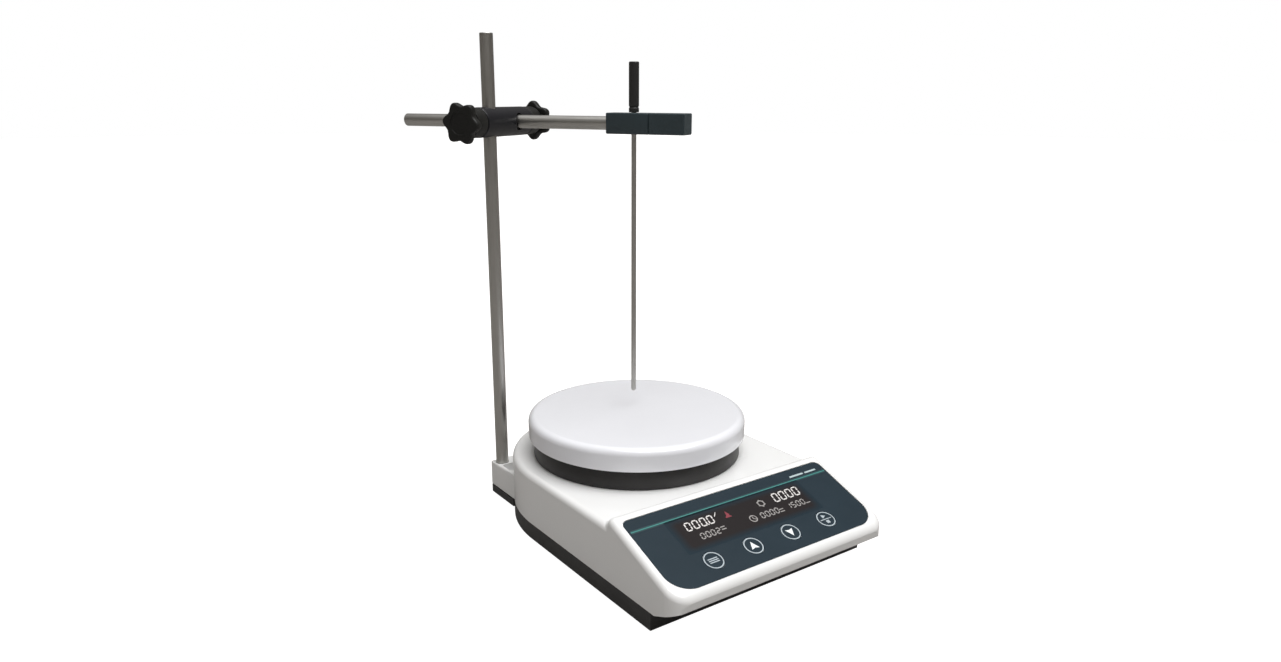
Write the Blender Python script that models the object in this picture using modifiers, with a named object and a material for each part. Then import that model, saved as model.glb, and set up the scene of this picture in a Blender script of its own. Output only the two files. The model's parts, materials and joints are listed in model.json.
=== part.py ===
"""A hot-plate magnetic stirrer with a support rod, a boss head, a side arm and a temperature probe.

Metres, +Z up. While the pieces are made, the hot plate's axis is the Z axis, the floor is at z = 0,
+Y is the rear and -Y the control panel. At the end stirrer_root moves the whole object so that its
origin is the middle of its bounding box's underside.
"""

import math

import bmesh
import bpy
from mathutils import Matrix, Vector

# ---------------------------------------------------------------- driving dimensions

GAP = 0.0003  # clearance between neighbouring pieces

PLATE_RADIUS = 0.0675
HOUSING_HALF_WIDTH = 0.0757
REAR_CENTRE_Y = 0.002  # where the straight sides turn into the half ellipse of the rear
REAR_DEPTH = 0.0805  # the half ellipse's other half axis
REAR_FLAT_Y = 0.076  # flat that cuts the half ellipse off for the sockets
PAN_FRONT_Y = -0.1187
NOSE_CORNER_RADIUS = 0.010

FOOT_HEIGHT = 0.0025
PARTING_Z = 0.0124  # housing above, pan below
HOUSING_TOP_Z = 0.0437
STEP_REAR_Y, STEP_FRONT_Y = -0.0775, -0.0805  # the step from the flat top up to the panel's bezel
RING_TOP_Z = 0.0556
PLATE_TOP_Z = 0.0695
HOUSING_WALL = 0.0025
PAN_WALL = 0.002
EDGE_ROUNDING = 0.0038

PANEL_TILT = math.radians(20.54)
PANEL_REAR = (-0.0861, 0.0473)  # the overlay's upper edge, y and z
PANEL_LENGTH = 0.0523
PANEL_HALF_WIDTH = 0.0714
OVERLAY_THICKNESS = 0.0009
RECESS_DEPTH = 0.0012
NOSE_RADIUS = 0.0055
LIP_Y, LIP_Z = -0.1374, 0.0191  # front edge under the nose
UNDERCUT_Y = -0.1215  # where the nose's underside meets the pan
KEY_SPACING = 0.02705
KEYS_MIDDLE_X = 0.0005
KEY_DROP = 0.0407  # from the overlay's upper edge down the panel
KEY_RADIUS = 0.0058
KEY_STEM_RADIUS = 0.0022
DISPLAY_X, DISPLAY_Y = (-0.045, 0.047), (-0.0055, 0.017)  # opening in the panel's frame

LUG_X = (-0.0634, -0.042)
LUG_REAR_Y = 0.079
LUG_TOP_Z = 0.024
LUG_FOOT_Z = 0.0074  # top of the pan's share of the lug
ROD_X, ROD_Y = -0.0578, 0.073
ROD_RADIUS = 0.004
ROD_BOTTOM_Z, ROD_TOP_Z = 0.0103, 0.2955
ROD_SCREW_RADIUS = 0.0025

ARM_Z = 0.2441
ARM_TURN = math.radians(-60.0)  # the arm's direction, from +X, seen from above
ARM_OFFSET = 0.022  # arm axis from rod axis, along the boss
ARM_REAR, ARM_FRONT = -0.0787, 0.0815
BOSS_RADIUS = 0.0089
BOSS_REAR, BOSS_FRONT = -0.0135, 0.037  # ends of the boss, from the rod's axis
ARM_HOLE_CLEARANCE = 0.0012  # round the arm, in the boss
KNOB_LOBES = 6
KNOB_RADIUS, KNOB_HOLLOW_RADIUS = 0.0124, 0.0099
KNOB_BASE, KNOB_TOP = 0.0125, 0.0175  # the star part, from the boss's end
HUB_RADIUS = 0.0088
NECK_RADIUS, NECK_START = 0.0078, 0.0105  # the narrower stretch between the hub and the star
STUD_RADIUS = 0.003
STUD_END = 0.015

HOLDER_START, HOLDER_SPLIT, HOLDER_END = 0.0705, 0.0978, 0.1204
HOLDER_SIDE = 0.0122
PROBE_ALONG = 0.0861
PROBE_TIP_Z = 0.079
PROBE_RADIUS = 0.0015
HANDLE_RADIUS = 0.003
HANDLE_TOP_Z = 0.279
HANDLE_CAP = 0.012  # solid end of the handle above the shaft

SCREW_PLACES = [(-0.062, -0.096), (0.062, -0.096), (-0.054, 0.036), (0.054, 0.036)]
FOOT_PLACES = [(-0.058, -0.078), (0.058, -0.078), (-0.038, 0.043), (0.038, 0.043)]
SCREW_RADIUS = 0.0016
POST_RADIUS, SCREW_BOSS_RADIUS = 0.004, 0.005
VENT_COUNT, VENT_SPACING, VENT_WIDTH = 8, 0.007, 0.003

MOTOR_RADIUS = 0.019
BEARING_RADIUS = 0.006
SHAFT_RADIUS = 0.0025
HEATER_RADIUS = 0.058
MAGNET_RADIUS, MAGNET_OFFSET = 0.007, 0.021

INLET_X, SWITCH_X, SOCKET_X = 0.013, -0.0115, -0.0243
SOCKETS_Z = 0.028
ROCKER_SWING = math.radians(16)  # from one position of the power switch to the other

ROUND = 48  # sides of a large round piece
SMALL_ROUND = 24
TINY_ROUND = 16


# ---------------------------------------------------------------- scene and materials

def clear_scene():
    for obj in list(bpy.data.objects):
        bpy.data.objects.remove(obj, do_unlink=True)


def new_collection(name):
    collection = bpy.data.collections.new(name)
    bpy.context.scene.collection.children.link(collection)
    return collection


def make_material(name, colour, roughness, metallic=0.0):
    material = bpy.data.materials.new(name)
    material.use_nodes = True
    shader = material.node_tree.nodes["Principled BSDF"]
    shader.inputs["Base Color"].default_value = (*colour, 1.0)
    shader.inputs["Roughness"].default_value = roughness
    shader.inputs["Metallic"].default_value = metallic
    material.diffuse_color = (*colour, 1.0)
    return material


clear_scene()
PARTS = new_collection("magnetic_stirrer")
CUTTERS = new_collection("cutters")
CUTTERS.hide_render = True

WHITE_PLASTIC = make_material("white_gloss_plastic", (0.80, 0.80, 0.79), 0.25)
CHARCOAL_PLASTIC = make_material("charcoal_plastic", (0.030, 0.030, 0.031), 0.45)
RING_PLASTIC = make_material("dark_ring_plastic", (0.028, 0.025, 0.025), 0.40)
GLAZED_WHITE = make_material("white_plate_glaze", (0.82, 0.82, 0.83), 0.15)
STEEL = make_material("satin_steel", (0.42, 0.42, 0.41), 0.32, 1.0)
BLACK_ALLOY = make_material("black_coated_alloy", (0.020, 0.020, 0.024), 0.40)
KNOB_PLASTIC = make_material("black_knob_plastic", (0.015, 0.015, 0.014), 0.50)
HOLDER_PLASTIC = make_material("slate_holder_plastic", (0.022, 0.028, 0.034), 0.50)
OVERLAY_FILM = make_material("slate_overlay_film", (0.030, 0.048, 0.062), 0.35)
RUBBER = make_material("black_rubber", (0.020, 0.020, 0.020), 0.80)
BOARD = make_material("green_circuit_board", (0.020, 0.110, 0.050), 0.50)
DARK_GLASS = make_material("display_glass", (0.020, 0.018, 0.018), 0.10)
COPPER = make_material("copper_winding", (0.60, 0.30, 0.16), 0.35, 1.0)
FIBRE = make_material("insulation_fibre", (0.60, 0.58, 0.52), 0.95)
MAGNET = make_material("nickel_magnet", (0.60, 0.58, 0.55), 0.25, 1.0)
BRASS = make_material("brass", (0.75, 0.55, 0.25), 0.30, 1.0)


# ---------------------------------------------------------------- modelling helpers

def new_object(name, mesh, material=None, parent=None, location=(0, 0, 0), rotation=(0, 0, 0)):
    obj = bpy.data.objects.new(name, mesh)
    PARTS.objects.link(obj)
    if material:
        mesh.materials.append(material)
    obj.parent = parent
    obj.location = location
    obj.rotation_euler = rotation
    return obj


def new_empty(name, **where):
    return new_object(name, None, **where)


def as_cutter(obj):
    """Moves an object to the cutters' collection, where it isn't part of the model."""
    PARTS.objects.unlink(obj)
    CUTTERS.objects.link(obj)
    obj.hide_render = True
    obj.display_type = "WIRE"
    return obj


def mesh_from(name, bm):
    bmesh.ops.recalc_face_normals(bm, faces=bm.faces)
    mesh = bpy.data.meshes.new(name)
    bm.to_mesh(mesh)
    bm.free()
    return mesh


def span(centre, half):
    return centre - half, centre + half


def block(name, x, y, z):
    """A box between two values on each axis."""
    low, high = (Vector(corner) for corner in zip(x, y, z))
    middle = Matrix.Translation((low + high) / 2)
    bm = bmesh.new()
    bmesh.ops.create_cube(bm, size=1.0, matrix=middle @ Matrix.Diagonal((*(high - low), 1.0)))
    return mesh_from(name, bm)


AXIS_TURN = {
    "X": Matrix.Rotation(math.pi / 2, 4, "Y"),
    "Y": Matrix.Rotation(-math.pi / 2, 4, "X"),
    "Z": Matrix.Identity(4),
}


def cylinder(name, radius, start, end, axis="Z", centre=(0, 0), sides=SMALL_ROUND):
    """A cylinder along an axis, from start to end on it. centre holds its two other coordinates."""
    first, second = centre
    middle = (start + end) / 2
    places = {"X": (middle, first, second), "Y": (first, middle, second), "Z": (first, second, middle)}
    bm = bmesh.new()
    bmesh.ops.create_cone(
        bm, cap_ends=True, segments=sides, radius1=radius, radius2=radius, depth=end - start,
        matrix=Matrix.Translation(places[axis]) @ AXIS_TURN[axis],
    )
    return mesh_from(name, bm)


def turned(name, profile, material, sides=ROUND, **where):
    """A solid of revolution about Z. The profile holds radius and height, and runs down its outer
    side, from the axis or, where it closes on itself, from its inner edge."""
    edges = [(i, i + 1) for i in range(len(profile) - 1)]
    if profile[0][0] > 0:
        edges.append((len(profile) - 1, 0))
    mesh = bpy.data.meshes.new(name)
    mesh.from_pydata([(radius, 0, z) for radius, z in profile], edges, [])
    obj = new_object(name, mesh, material, **where)
    screw = obj.modifiers.new("turn", "SCREW")
    screw.steps = screw.render_steps = sides
    screw.use_merge_vertices = True
    screw.merge_threshold = 0.00001
    screw.use_smooth_shade = True
    return obj


def disc(radius, low, high, inner=0.0):
    """The profile of a plain disc or ring."""
    return [(inner, high), (radius, high), (radius, low), (inner, low)]


def outline_mesh(name, points, low, high):
    """A flat outline in XY, extruded from low to high in Z."""
    curve = bpy.data.curves.new(name, "CURVE")
    curve.dimensions = "2D"
    curve.fill_mode = "BOTH"
    curve.extrude = (high - low) / 2
    spline = curve.splines.new("POLY")
    spline.points.add(len(points) - 1)
    for point, (x, y) in zip(spline.points, points):
        point.co = (x, y, 0, 1)
    spline.use_cyclic_u = True
    guide = bpy.data.objects.new(name, curve)
    CUTTERS.objects.link(guide)
    graph = bpy.context.evaluated_depsgraph_get()
    mesh = bpy.data.meshes.new_from_object(guide.evaluated_get(graph))
    bpy.data.objects.remove(guide)
    bm = bmesh.new()
    bm.from_mesh(mesh)
    bpy.data.meshes.remove(mesh)
    bmesh.ops.translate(bm, verts=bm.verts, vec=(0, 0, (low + high) / 2))
    bmesh.ops.remove_doubles(bm, verts=bm.verts, dist=0.000001)
    bmesh.ops.dissolve_limit(bm, angle_limit=0.001, verts=bm.verts, edges=bm.edges)
    return mesh_from(name, bm)


def stood_up(mesh):
    """Turns an outline drawn in y and z so that its thickness lies along X."""
    mesh.transform(Matrix(((0, 0, 1, 0), (1, 0, 0, 0), (0, 1, 0, 0), (0, 0, 0, 1))))
    return mesh


def boolean(obj, other, operation):
    modifier = obj.modifiers.new(other.name, "BOOLEAN")
    modifier.operation = operation
    modifier.object = other
    return obj


def cut(obj, *meshes, **where):
    for mesh in meshes:
        boolean(obj, as_cutter(new_object(f"cut_{mesh.name}", mesh, **where)), "DIFFERENCE")
    return obj


def join(obj, *meshes, **where):
    for mesh in meshes:
        boolean(obj, as_cutter(new_object(f"join_{mesh.name}", mesh, **where)), "UNION")
    return obj


def bake(obj):
    """Replaces an object's mesh by what its modifiers make of it."""
    graph = bpy.context.evaluated_depsgraph_get()
    mesh = bpy.data.meshes.new_from_object(obj.evaluated_get(graph))
    obj.modifiers.clear()
    obj.data = mesh
    return obj


def soften(obj, width, segments=2, degrees=40):
    """Rounds an object's sharp edges."""
    bevel = obj.modifiers.new("soften", "BEVEL")
    bevel.width = width
    bevel.segments = segments
    bevel.limit_method = "ANGLE"
    bevel.angle_limit = math.radians(degrees)
    return obj


def smooth(obj, degrees=35):
    obj.data.shade_smooth()
    obj.data.set_sharp_from_angle(angle=math.radians(degrees))
    return obj


def arc(centre, radius, start, end, steps):
    """Points on an arc in a plane, angles in degrees."""
    angles = [math.radians(start + (end - start) * i / steps) for i in range(steps + 1)]
    return [(centre[0] + radius * math.cos(a), centre[1] + radius * math.sin(a)) for a in angles]


# ---------------------------------------------------------------- the housing's outlines

PANEL_DOWN = Vector((-math.cos(PANEL_TILT), -math.sin(PANEL_TILT)))  # y and z, down the panel
PANEL_NORMAL = Vector((-math.sin(PANEL_TILT), math.cos(PANEL_TILT)))
PANEL_MIDDLE = Vector(PANEL_REAR) + PANEL_DOWN * PANEL_LENGTH / 2
NOSE_CENTRE = Vector(PANEL_REAR) + PANEL_DOWN * PANEL_LENGTH - PANEL_NORMAL * NOSE_RADIUS
NOSE_Y = NOSE_CENTRE.x - NOSE_RADIUS


def panel_height(y):
    return PANEL_REAR[1] + (y - PANEL_REAR[0]) * math.tan(PANEL_TILT)


def rear_curve(inset, steps=10):
    """The half ellipse of the rear, right to left, cut off by the flat."""
    width, depth = HOUSING_HALF_WIDTH - inset, REAR_DEPTH - inset
    end = math.asin((REAR_FLAT_Y - inset - REAR_CENTRE_Y) / depth)
    angles = [end * i / steps for i in range(steps + 1)]
    right = [(width * math.cos(a), REAR_CENTRE_Y + depth * math.sin(a)) for a in angles]
    return right + [(-x, y) for x, y in reversed(right)]


def housing_plan(inset):
    """The housing seen from above, with round front corners."""
    radius = NOSE_CORNER_RADIUS - inset
    corner_x = HOUSING_HALF_WIDTH - NOSE_CORNER_RADIUS
    corner_y = NOSE_Y + NOSE_CORNER_RADIUS
    left = arc((-corner_x, corner_y), radius, 180, 270, 8)
    right = arc((corner_x, corner_y), radius, 270, 360, 8)
    return rear_curve(inset) + left + right


def pan_plan(inset):
    """The pan seen from above, with square front corners."""
    width = HOUSING_HALF_WIDTH - inset
    front = PAN_FRONT_Y + inset
    return rear_curve(inset) + [(-width, front), (width, front)]


def nose_arc(inset):
    return arc(NOSE_CENTRE, NOSE_RADIUS - inset, 90 + math.degrees(PANEL_TILT), 180, 5)


def outer_profile():
    """The housing seen from the side, y and z: top, step up to the bezel, panel, nose, undercut."""
    behind = REAR_FLAT_Y + 0.02
    top = [(behind, PARTING_Z), (behind, HOUSING_TOP_Z), (STEP_REAR_Y, HOUSING_TOP_Z)]
    front = [(LIP_Y, LIP_Z), (UNDERCUT_Y, PARTING_Z)]
    return top + [(STEP_FRONT_Y, panel_height(STEP_FRONT_Y))] + nose_arc(0) + front


def cavity_profile(inset):
    """The same, inside the wall and open below."""
    behind, below = REAR_FLAT_Y + 0.02, -0.01
    top_z = HOUSING_TOP_Z - inset
    step_y = STEP_FRONT_Y - 0.3 * inset
    panel_z = panel_height(step_y) - inset / math.cos(PANEL_TILT)
    foot_y = PAN_FRONT_Y + inset
    top = [(behind, below), (behind, top_z), (STEP_REAR_Y - inset, top_z), (step_y, panel_z)]
    front = [(NOSE_Y + inset, 0.0225), (foot_y - 0.001, PARTING_Z + inset), (foot_y, below)]
    return top + nose_arc(inset) + front


def housing_solid(name, inset, profile):
    """The plan extruded upwards, met with the side profile extruded across."""
    plan = new_object(name, outline_mesh(name, housing_plan(inset), -0.009, 0.06), WHITE_PLASTIC)
    side = stood_up(outline_mesh(f"{name}_side", profile, -0.1, 0.1))
    boolean(plan, as_cutter(new_object(f"{name}_side", side)), "INTERSECT")
    return bake(plan)


def round_top_edges(mesh):
    """Rounds the sharp edges that bound the housing's top, its step and its panel."""
    bm = bmesh.new()
    bm.from_mesh(mesh)
    bmesh.ops.remove_doubles(bm, verts=bm.verts, dist=0.000005)
    bmesh.ops.dissolve_limit(bm, angle_limit=0.01, verts=bm.verts, edges=bm.edges)
    chosen = []
    for edge in bm.edges:
        upper = all(vert.co.z > LIP_Z + 0.0004 for vert in edge.verts)
        rise = abs(edge.verts[0].co.z - edge.verts[1].co.z)
        sharp = edge.calc_face_angle(0) > math.radians(30)
        if upper and sharp and rise < 0.9 * edge.calc_length():
            chosen.append(edge)
    bmesh.ops.bevel(
        bm, geom=chosen, offset=EDGE_ROUNDING, segments=3, profile=0.5, affect="EDGES", clamp_overlap=True,
    )
    bm.to_mesh(mesh)
    bm.free()


# ---------------------------------------------------------------- frames and places on the panel

KEYS = {
    name: (KEYS_MIDDLE_X + (i - 1.5) * KEY_SPACING, PANEL_LENGTH / 2 - KEY_DROP)
    for i, name in enumerate(("menu", "up", "down", "run"))
}
OVERLAY_TOP = -RECESS_DEPTH + GAP + OVERLAY_THICKNESS

ROOT = new_empty("stirrer_root")
PANEL_FRAME = new_empty(  # X right, Y up the panel, Z out of it
    "panel_frame", parent=ROOT, location=(0, *PANEL_MIDDLE), rotation=(PANEL_TILT, 0, 0),
)
ROTOR_AXIS = new_empty("rotor_axis", parent=ROOT)
ROCKER_AXIS = new_empty("rocker_axis", parent=ROOT, location=(SWITCH_X, REAR_FLAT_Y - 0.0015, SOCKETS_Z))
ROD_AXIS = new_empty("rod_axis", parent=ROOT, location=(ROD_X, ROD_Y, 0))
BOSS_FRAME = new_empty(  # X along the arm, Y along the boss
    "boss_frame", parent=ROD_AXIS, location=(0, 0, ARM_Z), rotation=(0, 0, ARM_TURN),
)
ARM_AXIS = new_empty("arm_axis", parent=BOSS_FRAME, location=(0, ARM_OFFSET, 0))
PROBE_AXIS = new_empty("probe_axis", parent=ARM_AXIS, location=(PROBE_ALONG, 0, 0))


# ---------------------------------------------------------------- housing and pan

def lug_block(name, low_z, high_z, front_y=0.04, margin=0.0):
    """A block over the lug's plan at the left of the rear, which carries the rod."""
    x = (LUG_X[0] - margin, LUG_X[1] + margin)
    return block(name, x, (front_y - margin, LUG_REAR_Y + margin), (low_z, high_z))


def rod_screw_way(name):
    return cylinder(name, ROD_SCREW_RADIUS + GAP, 0, 0.015, centre=(ROD_X, ROD_Y))


def make_housing():
    housing = housing_solid("top_housing", 0, outer_profile())
    housing.parent = ROOT
    round_top_edges(housing.data)
    join(housing, lug_block("lug", LUG_FOOT_Z + GAP, LUG_TOP_Z), parent=ROOT)
    cavity = as_cutter(housing_solid("cut_cavity", HOUSING_WALL, cavity_profile(HOUSING_WALL)))
    cavity.parent = ROOT
    boolean(housing, cavity, "DIFFERENCE")
    for i, (x, y) in enumerate(SCREW_PLACES):
        top = (HOUSING_TOP_Z if y > 0 else panel_height(y)) - 0.6 * HOUSING_WALL
        post = cylinder(f"post_{i}", POST_RADIUS, PARTING_Z, top, centre=(x, y), sides=TINY_ROUND)
        join(housing, post, parent=ROOT)
    for i, place in enumerate(SCREW_PLACES):
        thread = cylinder(
            f"post_hole_{i}", SCREW_RADIUS + GAP, 0.011, 0.024, centre=place, sides=TINY_ROUND,
        )
        cut(housing, thread, parent=ROOT)
    through_wall = (0.06, 0.09)
    cut(
        housing,
        cylinder("plate_opening", 0.046, 0.038, 0.05, sides=ROUND),
        block("lug_pocket", (-0.061, -0.0515), (0.057, 0.0675), (0.018, 0.03)),
        cylinder("rod_hole", ROD_RADIUS + GAP, 0.01, 0.03, centre=(ROD_X, ROD_Y)),
        rod_screw_way("housing_screw_way"),
        block("inlet_opening", span(INLET_X, 0.0138), through_wall, span(SOCKETS_Z, 0.01)),
        block("switch_opening", span(SWITCH_X, 0.0063), through_wall, span(SOCKETS_Z, 0.0093)),
        cylinder("socket_opening", 0.0039, *through_wall, axis="Y", centre=(SOCKET_X, SOCKETS_Z)),
        parent=ROOT,
    )
    cut_panel(housing)
    smooth(housing)


def overlay_outline(margin):
    """The overlay seen square on: small round corners at the rear, large ones at the front."""
    half_w, half_l = PANEL_HALF_WIDTH + margin, PANEL_LENGTH / 2 + margin
    small, large = 0.004 + margin, 0.013 + margin
    outline = arc((half_w - small, half_l - small), small, 0, 90, 4)
    outline += arc((small - half_w, half_l - small), small, 90, 180, 4)
    outline += arc((large - half_w, large - half_l), large, 180, 270, 8)
    outline += arc((half_w - large, large - half_l), large, 270, 360, 8)
    return outline


def cut_panel(housing):
    """The recess for the overlay, and the holes for the display and the keys."""
    cut(
        housing,
        outline_mesh("overlay_recess", overlay_outline(GAP), -RECESS_DEPTH, 0.006),
        block("display_opening", DISPLAY_X, DISPLAY_Y, (-0.008, 0.002)),
        parent=PANEL_FRAME,
    )
    for name, centre in KEYS.items():
        hole = cylinder(
            f"{name}_hole", KEY_STEM_RADIUS + 0.0004, -0.008, 0.002, centre=centre, sides=TINY_ROUND,
        )
        cut(housing, hole, parent=PANEL_FRAME)


def make_pan():
    plan = outline_mesh("pan", pan_plan(0), FOOT_HEIGHT, PARTING_Z - GAP)
    pan = new_object("bottom_pan", plan, CHARCOAL_PLASTIC, parent=ROOT)
    floor_z = FOOT_HEIGHT + PAN_WALL
    cut(pan, outline_mesh("pan_hollow", pan_plan(PAN_WALL), floor_z, 0.02), parent=ROOT)
    join(pan, lug_block("lug_foot", FOOT_HEIGHT, LUG_FOOT_Z, front_y=0.048), parent=ROOT)
    cut(pan, lug_block("lug_clearance", LUG_FOOT_Z, 0.02, margin=GAP), parent=ROOT)
    for i, place in enumerate(SCREW_PLACES):
        boss = cylinder(
            f"screw_boss_{i}", SCREW_BOSS_RADIUS, 0.003, PARTING_Z - 0.0006, centre=place, sides=TINY_ROUND,
        )
        join(pan, boss, parent=ROOT)
    for i, place in enumerate(SCREW_PLACES):
        cut(
            pan,
            cylinder(f"screw_hole_{i}", SCREW_RADIUS + GAP, 0, 0.015, centre=place, sides=TINY_ROUND),
            cylinder(f"screw_sink_{i}", 2 * SCREW_RADIUS, 0, 0.006, centre=place, sides=TINY_ROUND),
            parent=ROOT,
        )
    for i, place in enumerate(FOOT_PLACES):
        cut(pan, cylinder(f"foot_hole_{i}", 0.0023, 0, 0.008, centre=place, sides=TINY_ROUND), parent=ROOT)
    cut(
        pan,
        cylinder("rod_screw_sink", 0.0048, 0, 0.0055, centre=(ROD_X, ROD_Y)),
        rod_screw_way("pan_screw_way"),
        parent=ROOT,
    )
    for i in range(VENT_COUNT):
        x = span((i - (VENT_COUNT - 1) / 2) * VENT_SPACING, VENT_WIDTH / 2)
        cut(pan, block(f"vent_{i}", x, (-0.02, 0.016), (0, 0.008)), parent=ROOT)
    smooth(pan)


def make_feet():
    """Four rubber feet, each held by a barb in the pan's floor."""
    stem, barb, pad = 0.002, 0.0026, 0.0075
    profile = [
        (0, 0.0065), (0.0012, 0.0065), (barb, 0.0052), (stem, 0.0046), (stem, 0.0022),
        (pad - 0.0005, 0.0022), (pad, 0.0016), (pad - 0.0005, 0), (0, 0),
    ]
    for i, (x, y) in enumerate(FOOT_PLACES):
        turned(f"rubber_foot_{i + 1}", profile, RUBBER, SMALL_ROUND, parent=ROOT, location=(x, y, 0))


def screw_profile(thread, head, underside, head_end, tip):
    """A screw with its head down: thread and head radius, and the heights of its steps."""
    return [
        (0, tip), (thread - 0.0004, tip), (thread, tip - 0.0005), (thread, underside),
        (head, underside), (head, head_end + 0.0006), (head - 0.0006, head_end), (0, head_end),
    ]


def make_base_screws():
    profile = screw_profile(SCREW_RADIUS, 0.003, 0.0057, 0.0032, 0.02)
    for i, (x, y) in enumerate(SCREW_PLACES):
        turned(f"base_screw_{i + 1}", profile, STEEL, TINY_ROUND, parent=ROOT, location=(x, y, 0))


# ---------------------------------------------------------------- plate, heater and motor

def make_plate():
    """The hot plate: a disc with a rounded rim and a skirt that hides the heater."""
    rim, low, rounding, underside = PLATE_RADIUS, RING_TOP_Z + GAP, 0.0045, 0.0645
    rim_arc = arc((rim - rounding, PLATE_TOP_Z - rounding), rounding, 90, 0, 4)
    skirt = [(rim, low + 0.0005), (rim - 0.0005, low), (rim - rounding, low), (rim - rounding, underside)]
    turned("hot_plate", [(0, PLATE_TOP_Z)] + rim_arc + skirt + [(0, underside)], GLAZED_WHITE, parent=ROOT)


def make_insulating_ring():
    """The dark ring under the plate, with a flange on the housing and a lip in its opening."""
    outer, inner, shelf_z, lip_inner = 0.0646, HEATER_RADIUS - 0.0005, 0.047, 0.0425
    base_z = HOUSING_TOP_Z + GAP
    profile = [
        (inner, RING_TOP_Z), (outer - 0.0012, RING_TOP_Z), (outer, base_z + GAP), (outer - GAP, base_z),
        (0.045, base_z), (0.045, 0.042), (lip_inner, 0.042), (lip_inner, shelf_z), (inner, shelf_z),
    ]
    turned("insulating_ring", profile, RING_PLASTIC, parent=ROOT)


def make_heater():
    turned("heating_element", disc(HEATER_RADIUS, 0.061, 0.0642, inner=0.016), COPPER, parent=ROOT)
    turned("insulation_pad", disc(HEATER_RADIUS, 0.0577, 0.0607), FIBRE, parent=ROOT)
    turned("heat_shield", disc(HEATER_RADIUS - 0.002, 0.0563, 0.0573), STEEL, parent=ROOT)
    sensor = cylinder("plate_sensor", 0.002, 0.0612, 0.064, sides=TINY_ROUND)
    new_object("plate_sensor", sensor, BRASS, parent=ROOT, location=(0.008, 0, 0))


def make_motor():
    """The motor hangs from a bracket under the housing's top."""
    plate = block("bracket", span(0, 0.052), span(0, 0.02), (0.0392, 0.0407))
    bracket = new_object("motor_bracket", plate, STEEL, parent=ROOT)
    mouth = BEARING_RADIUS + GAP
    cut(bracket, cylinder("bearing_seat", mouth, 0.035, 0.045), parent=ROOT)
    top, bottom, wall, edge = 0.0389, 0.013, 0.004, 0.001
    can = [
        (mouth, top), (MOTOR_RADIUS - edge, top), (MOTOR_RADIUS, top - edge), (MOTOR_RADIUS, bottom + edge),
        (MOTOR_RADIUS - edge, bottom), (0, bottom), (0, bottom + wall), (mouth, bottom + wall),
    ]
    turned("motor_body", can, STEEL, 32, parent=ROOT)
    bearing = disc(BEARING_RADIUS, 0.037, 0.0415, inner=SHAFT_RADIUS + 0.0005)
    turned("motor_bearing", bearing, BRASS, SMALL_ROUND, parent=ROOT)


def make_rotor():
    """The shaft and the bar that it turns, with the two magnets that pull the stir bar round."""
    rotor, tip, neck, foot = 0.0055, 0.0535, 0.0365, 0.0176
    shaft = [
        (0, tip), (SHAFT_RADIUS - 0.0005, tip), (SHAFT_RADIUS, tip - 0.0005), (SHAFT_RADIUS, neck),
        (rotor, neck), (rotor, foot), (0, foot),
    ]
    turned("motor_shaft", shaft, STEEL, SMALL_ROUND, parent=ROTOR_AXIS)
    bar = block("carrier_bar", span(0, 0.031), span(0, 0.009), (0.048, 0.051))
    carrier = new_object("magnet_carrier", bar, KNOB_PLASTIC, parent=ROTOR_AXIS)
    join(carrier, cylinder("carrier_hub", 0.006, 0.0435, 0.0525), parent=ROTOR_AXIS)
    cut(carrier, cylinder("shaft_bore", SHAFT_RADIUS + GAP, 0.04, 0.056), parent=ROTOR_AXIS)
    for i, x in enumerate((-MAGNET_OFFSET, MAGNET_OFFSET)):
        name = f"drive_magnet_{i + 1}"
        magnet = cylinder(name, MAGNET_RADIUS, 0.051 + GAP, 0.055)
        new_object(name, magnet, MAGNET, parent=ROTOR_AXIS, location=(x, 0, 0))


# ---------------------------------------------------------------- control panel and electronics

def make_overlay():
    sheet = outline_mesh("overlay", overlay_outline(0), OVERLAY_TOP - OVERLAY_THICKNESS, OVERLAY_TOP)
    overlay = new_object("panel_overlay", sheet, OVERLAY_FILM, parent=PANEL_FRAME)
    for name, centre in KEYS.items():
        window = cylinder(f"{name}_window", KEY_RADIUS + GAP, -0.004, 0.004, centre=centre, sides=32)
        cut(overlay, window, parent=PANEL_FRAME)


def make_keys():
    """Four keys, each a thin cap flush with the overlay on a stem that reaches its switch."""
    underside, stem_end = OVERLAY_TOP - 0.00035, -0.007
    profile = [
        (0, OVERLAY_TOP), (KEY_RADIUS, OVERLAY_TOP), (KEY_RADIUS, underside),
        (KEY_STEM_RADIUS, underside), (KEY_STEM_RADIUS, stem_end), (0, stem_end),
    ]
    for name, (x, y) in KEYS.items():
        axis = new_empty(f"{name}_key_axis", parent=PANEL_FRAME, location=(x, y, 0))
        turned(f"{name}_key", profile, OVERLAY_FILM, 32, parent=axis)
        switch = block(f"{name}_switch", span(0, 0.003), span(0, 0.003), (-0.0107, stem_end - 0.0007))
        new_object(f"{name}_switch", switch, KNOB_PLASTIC, parent=axis)


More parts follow.
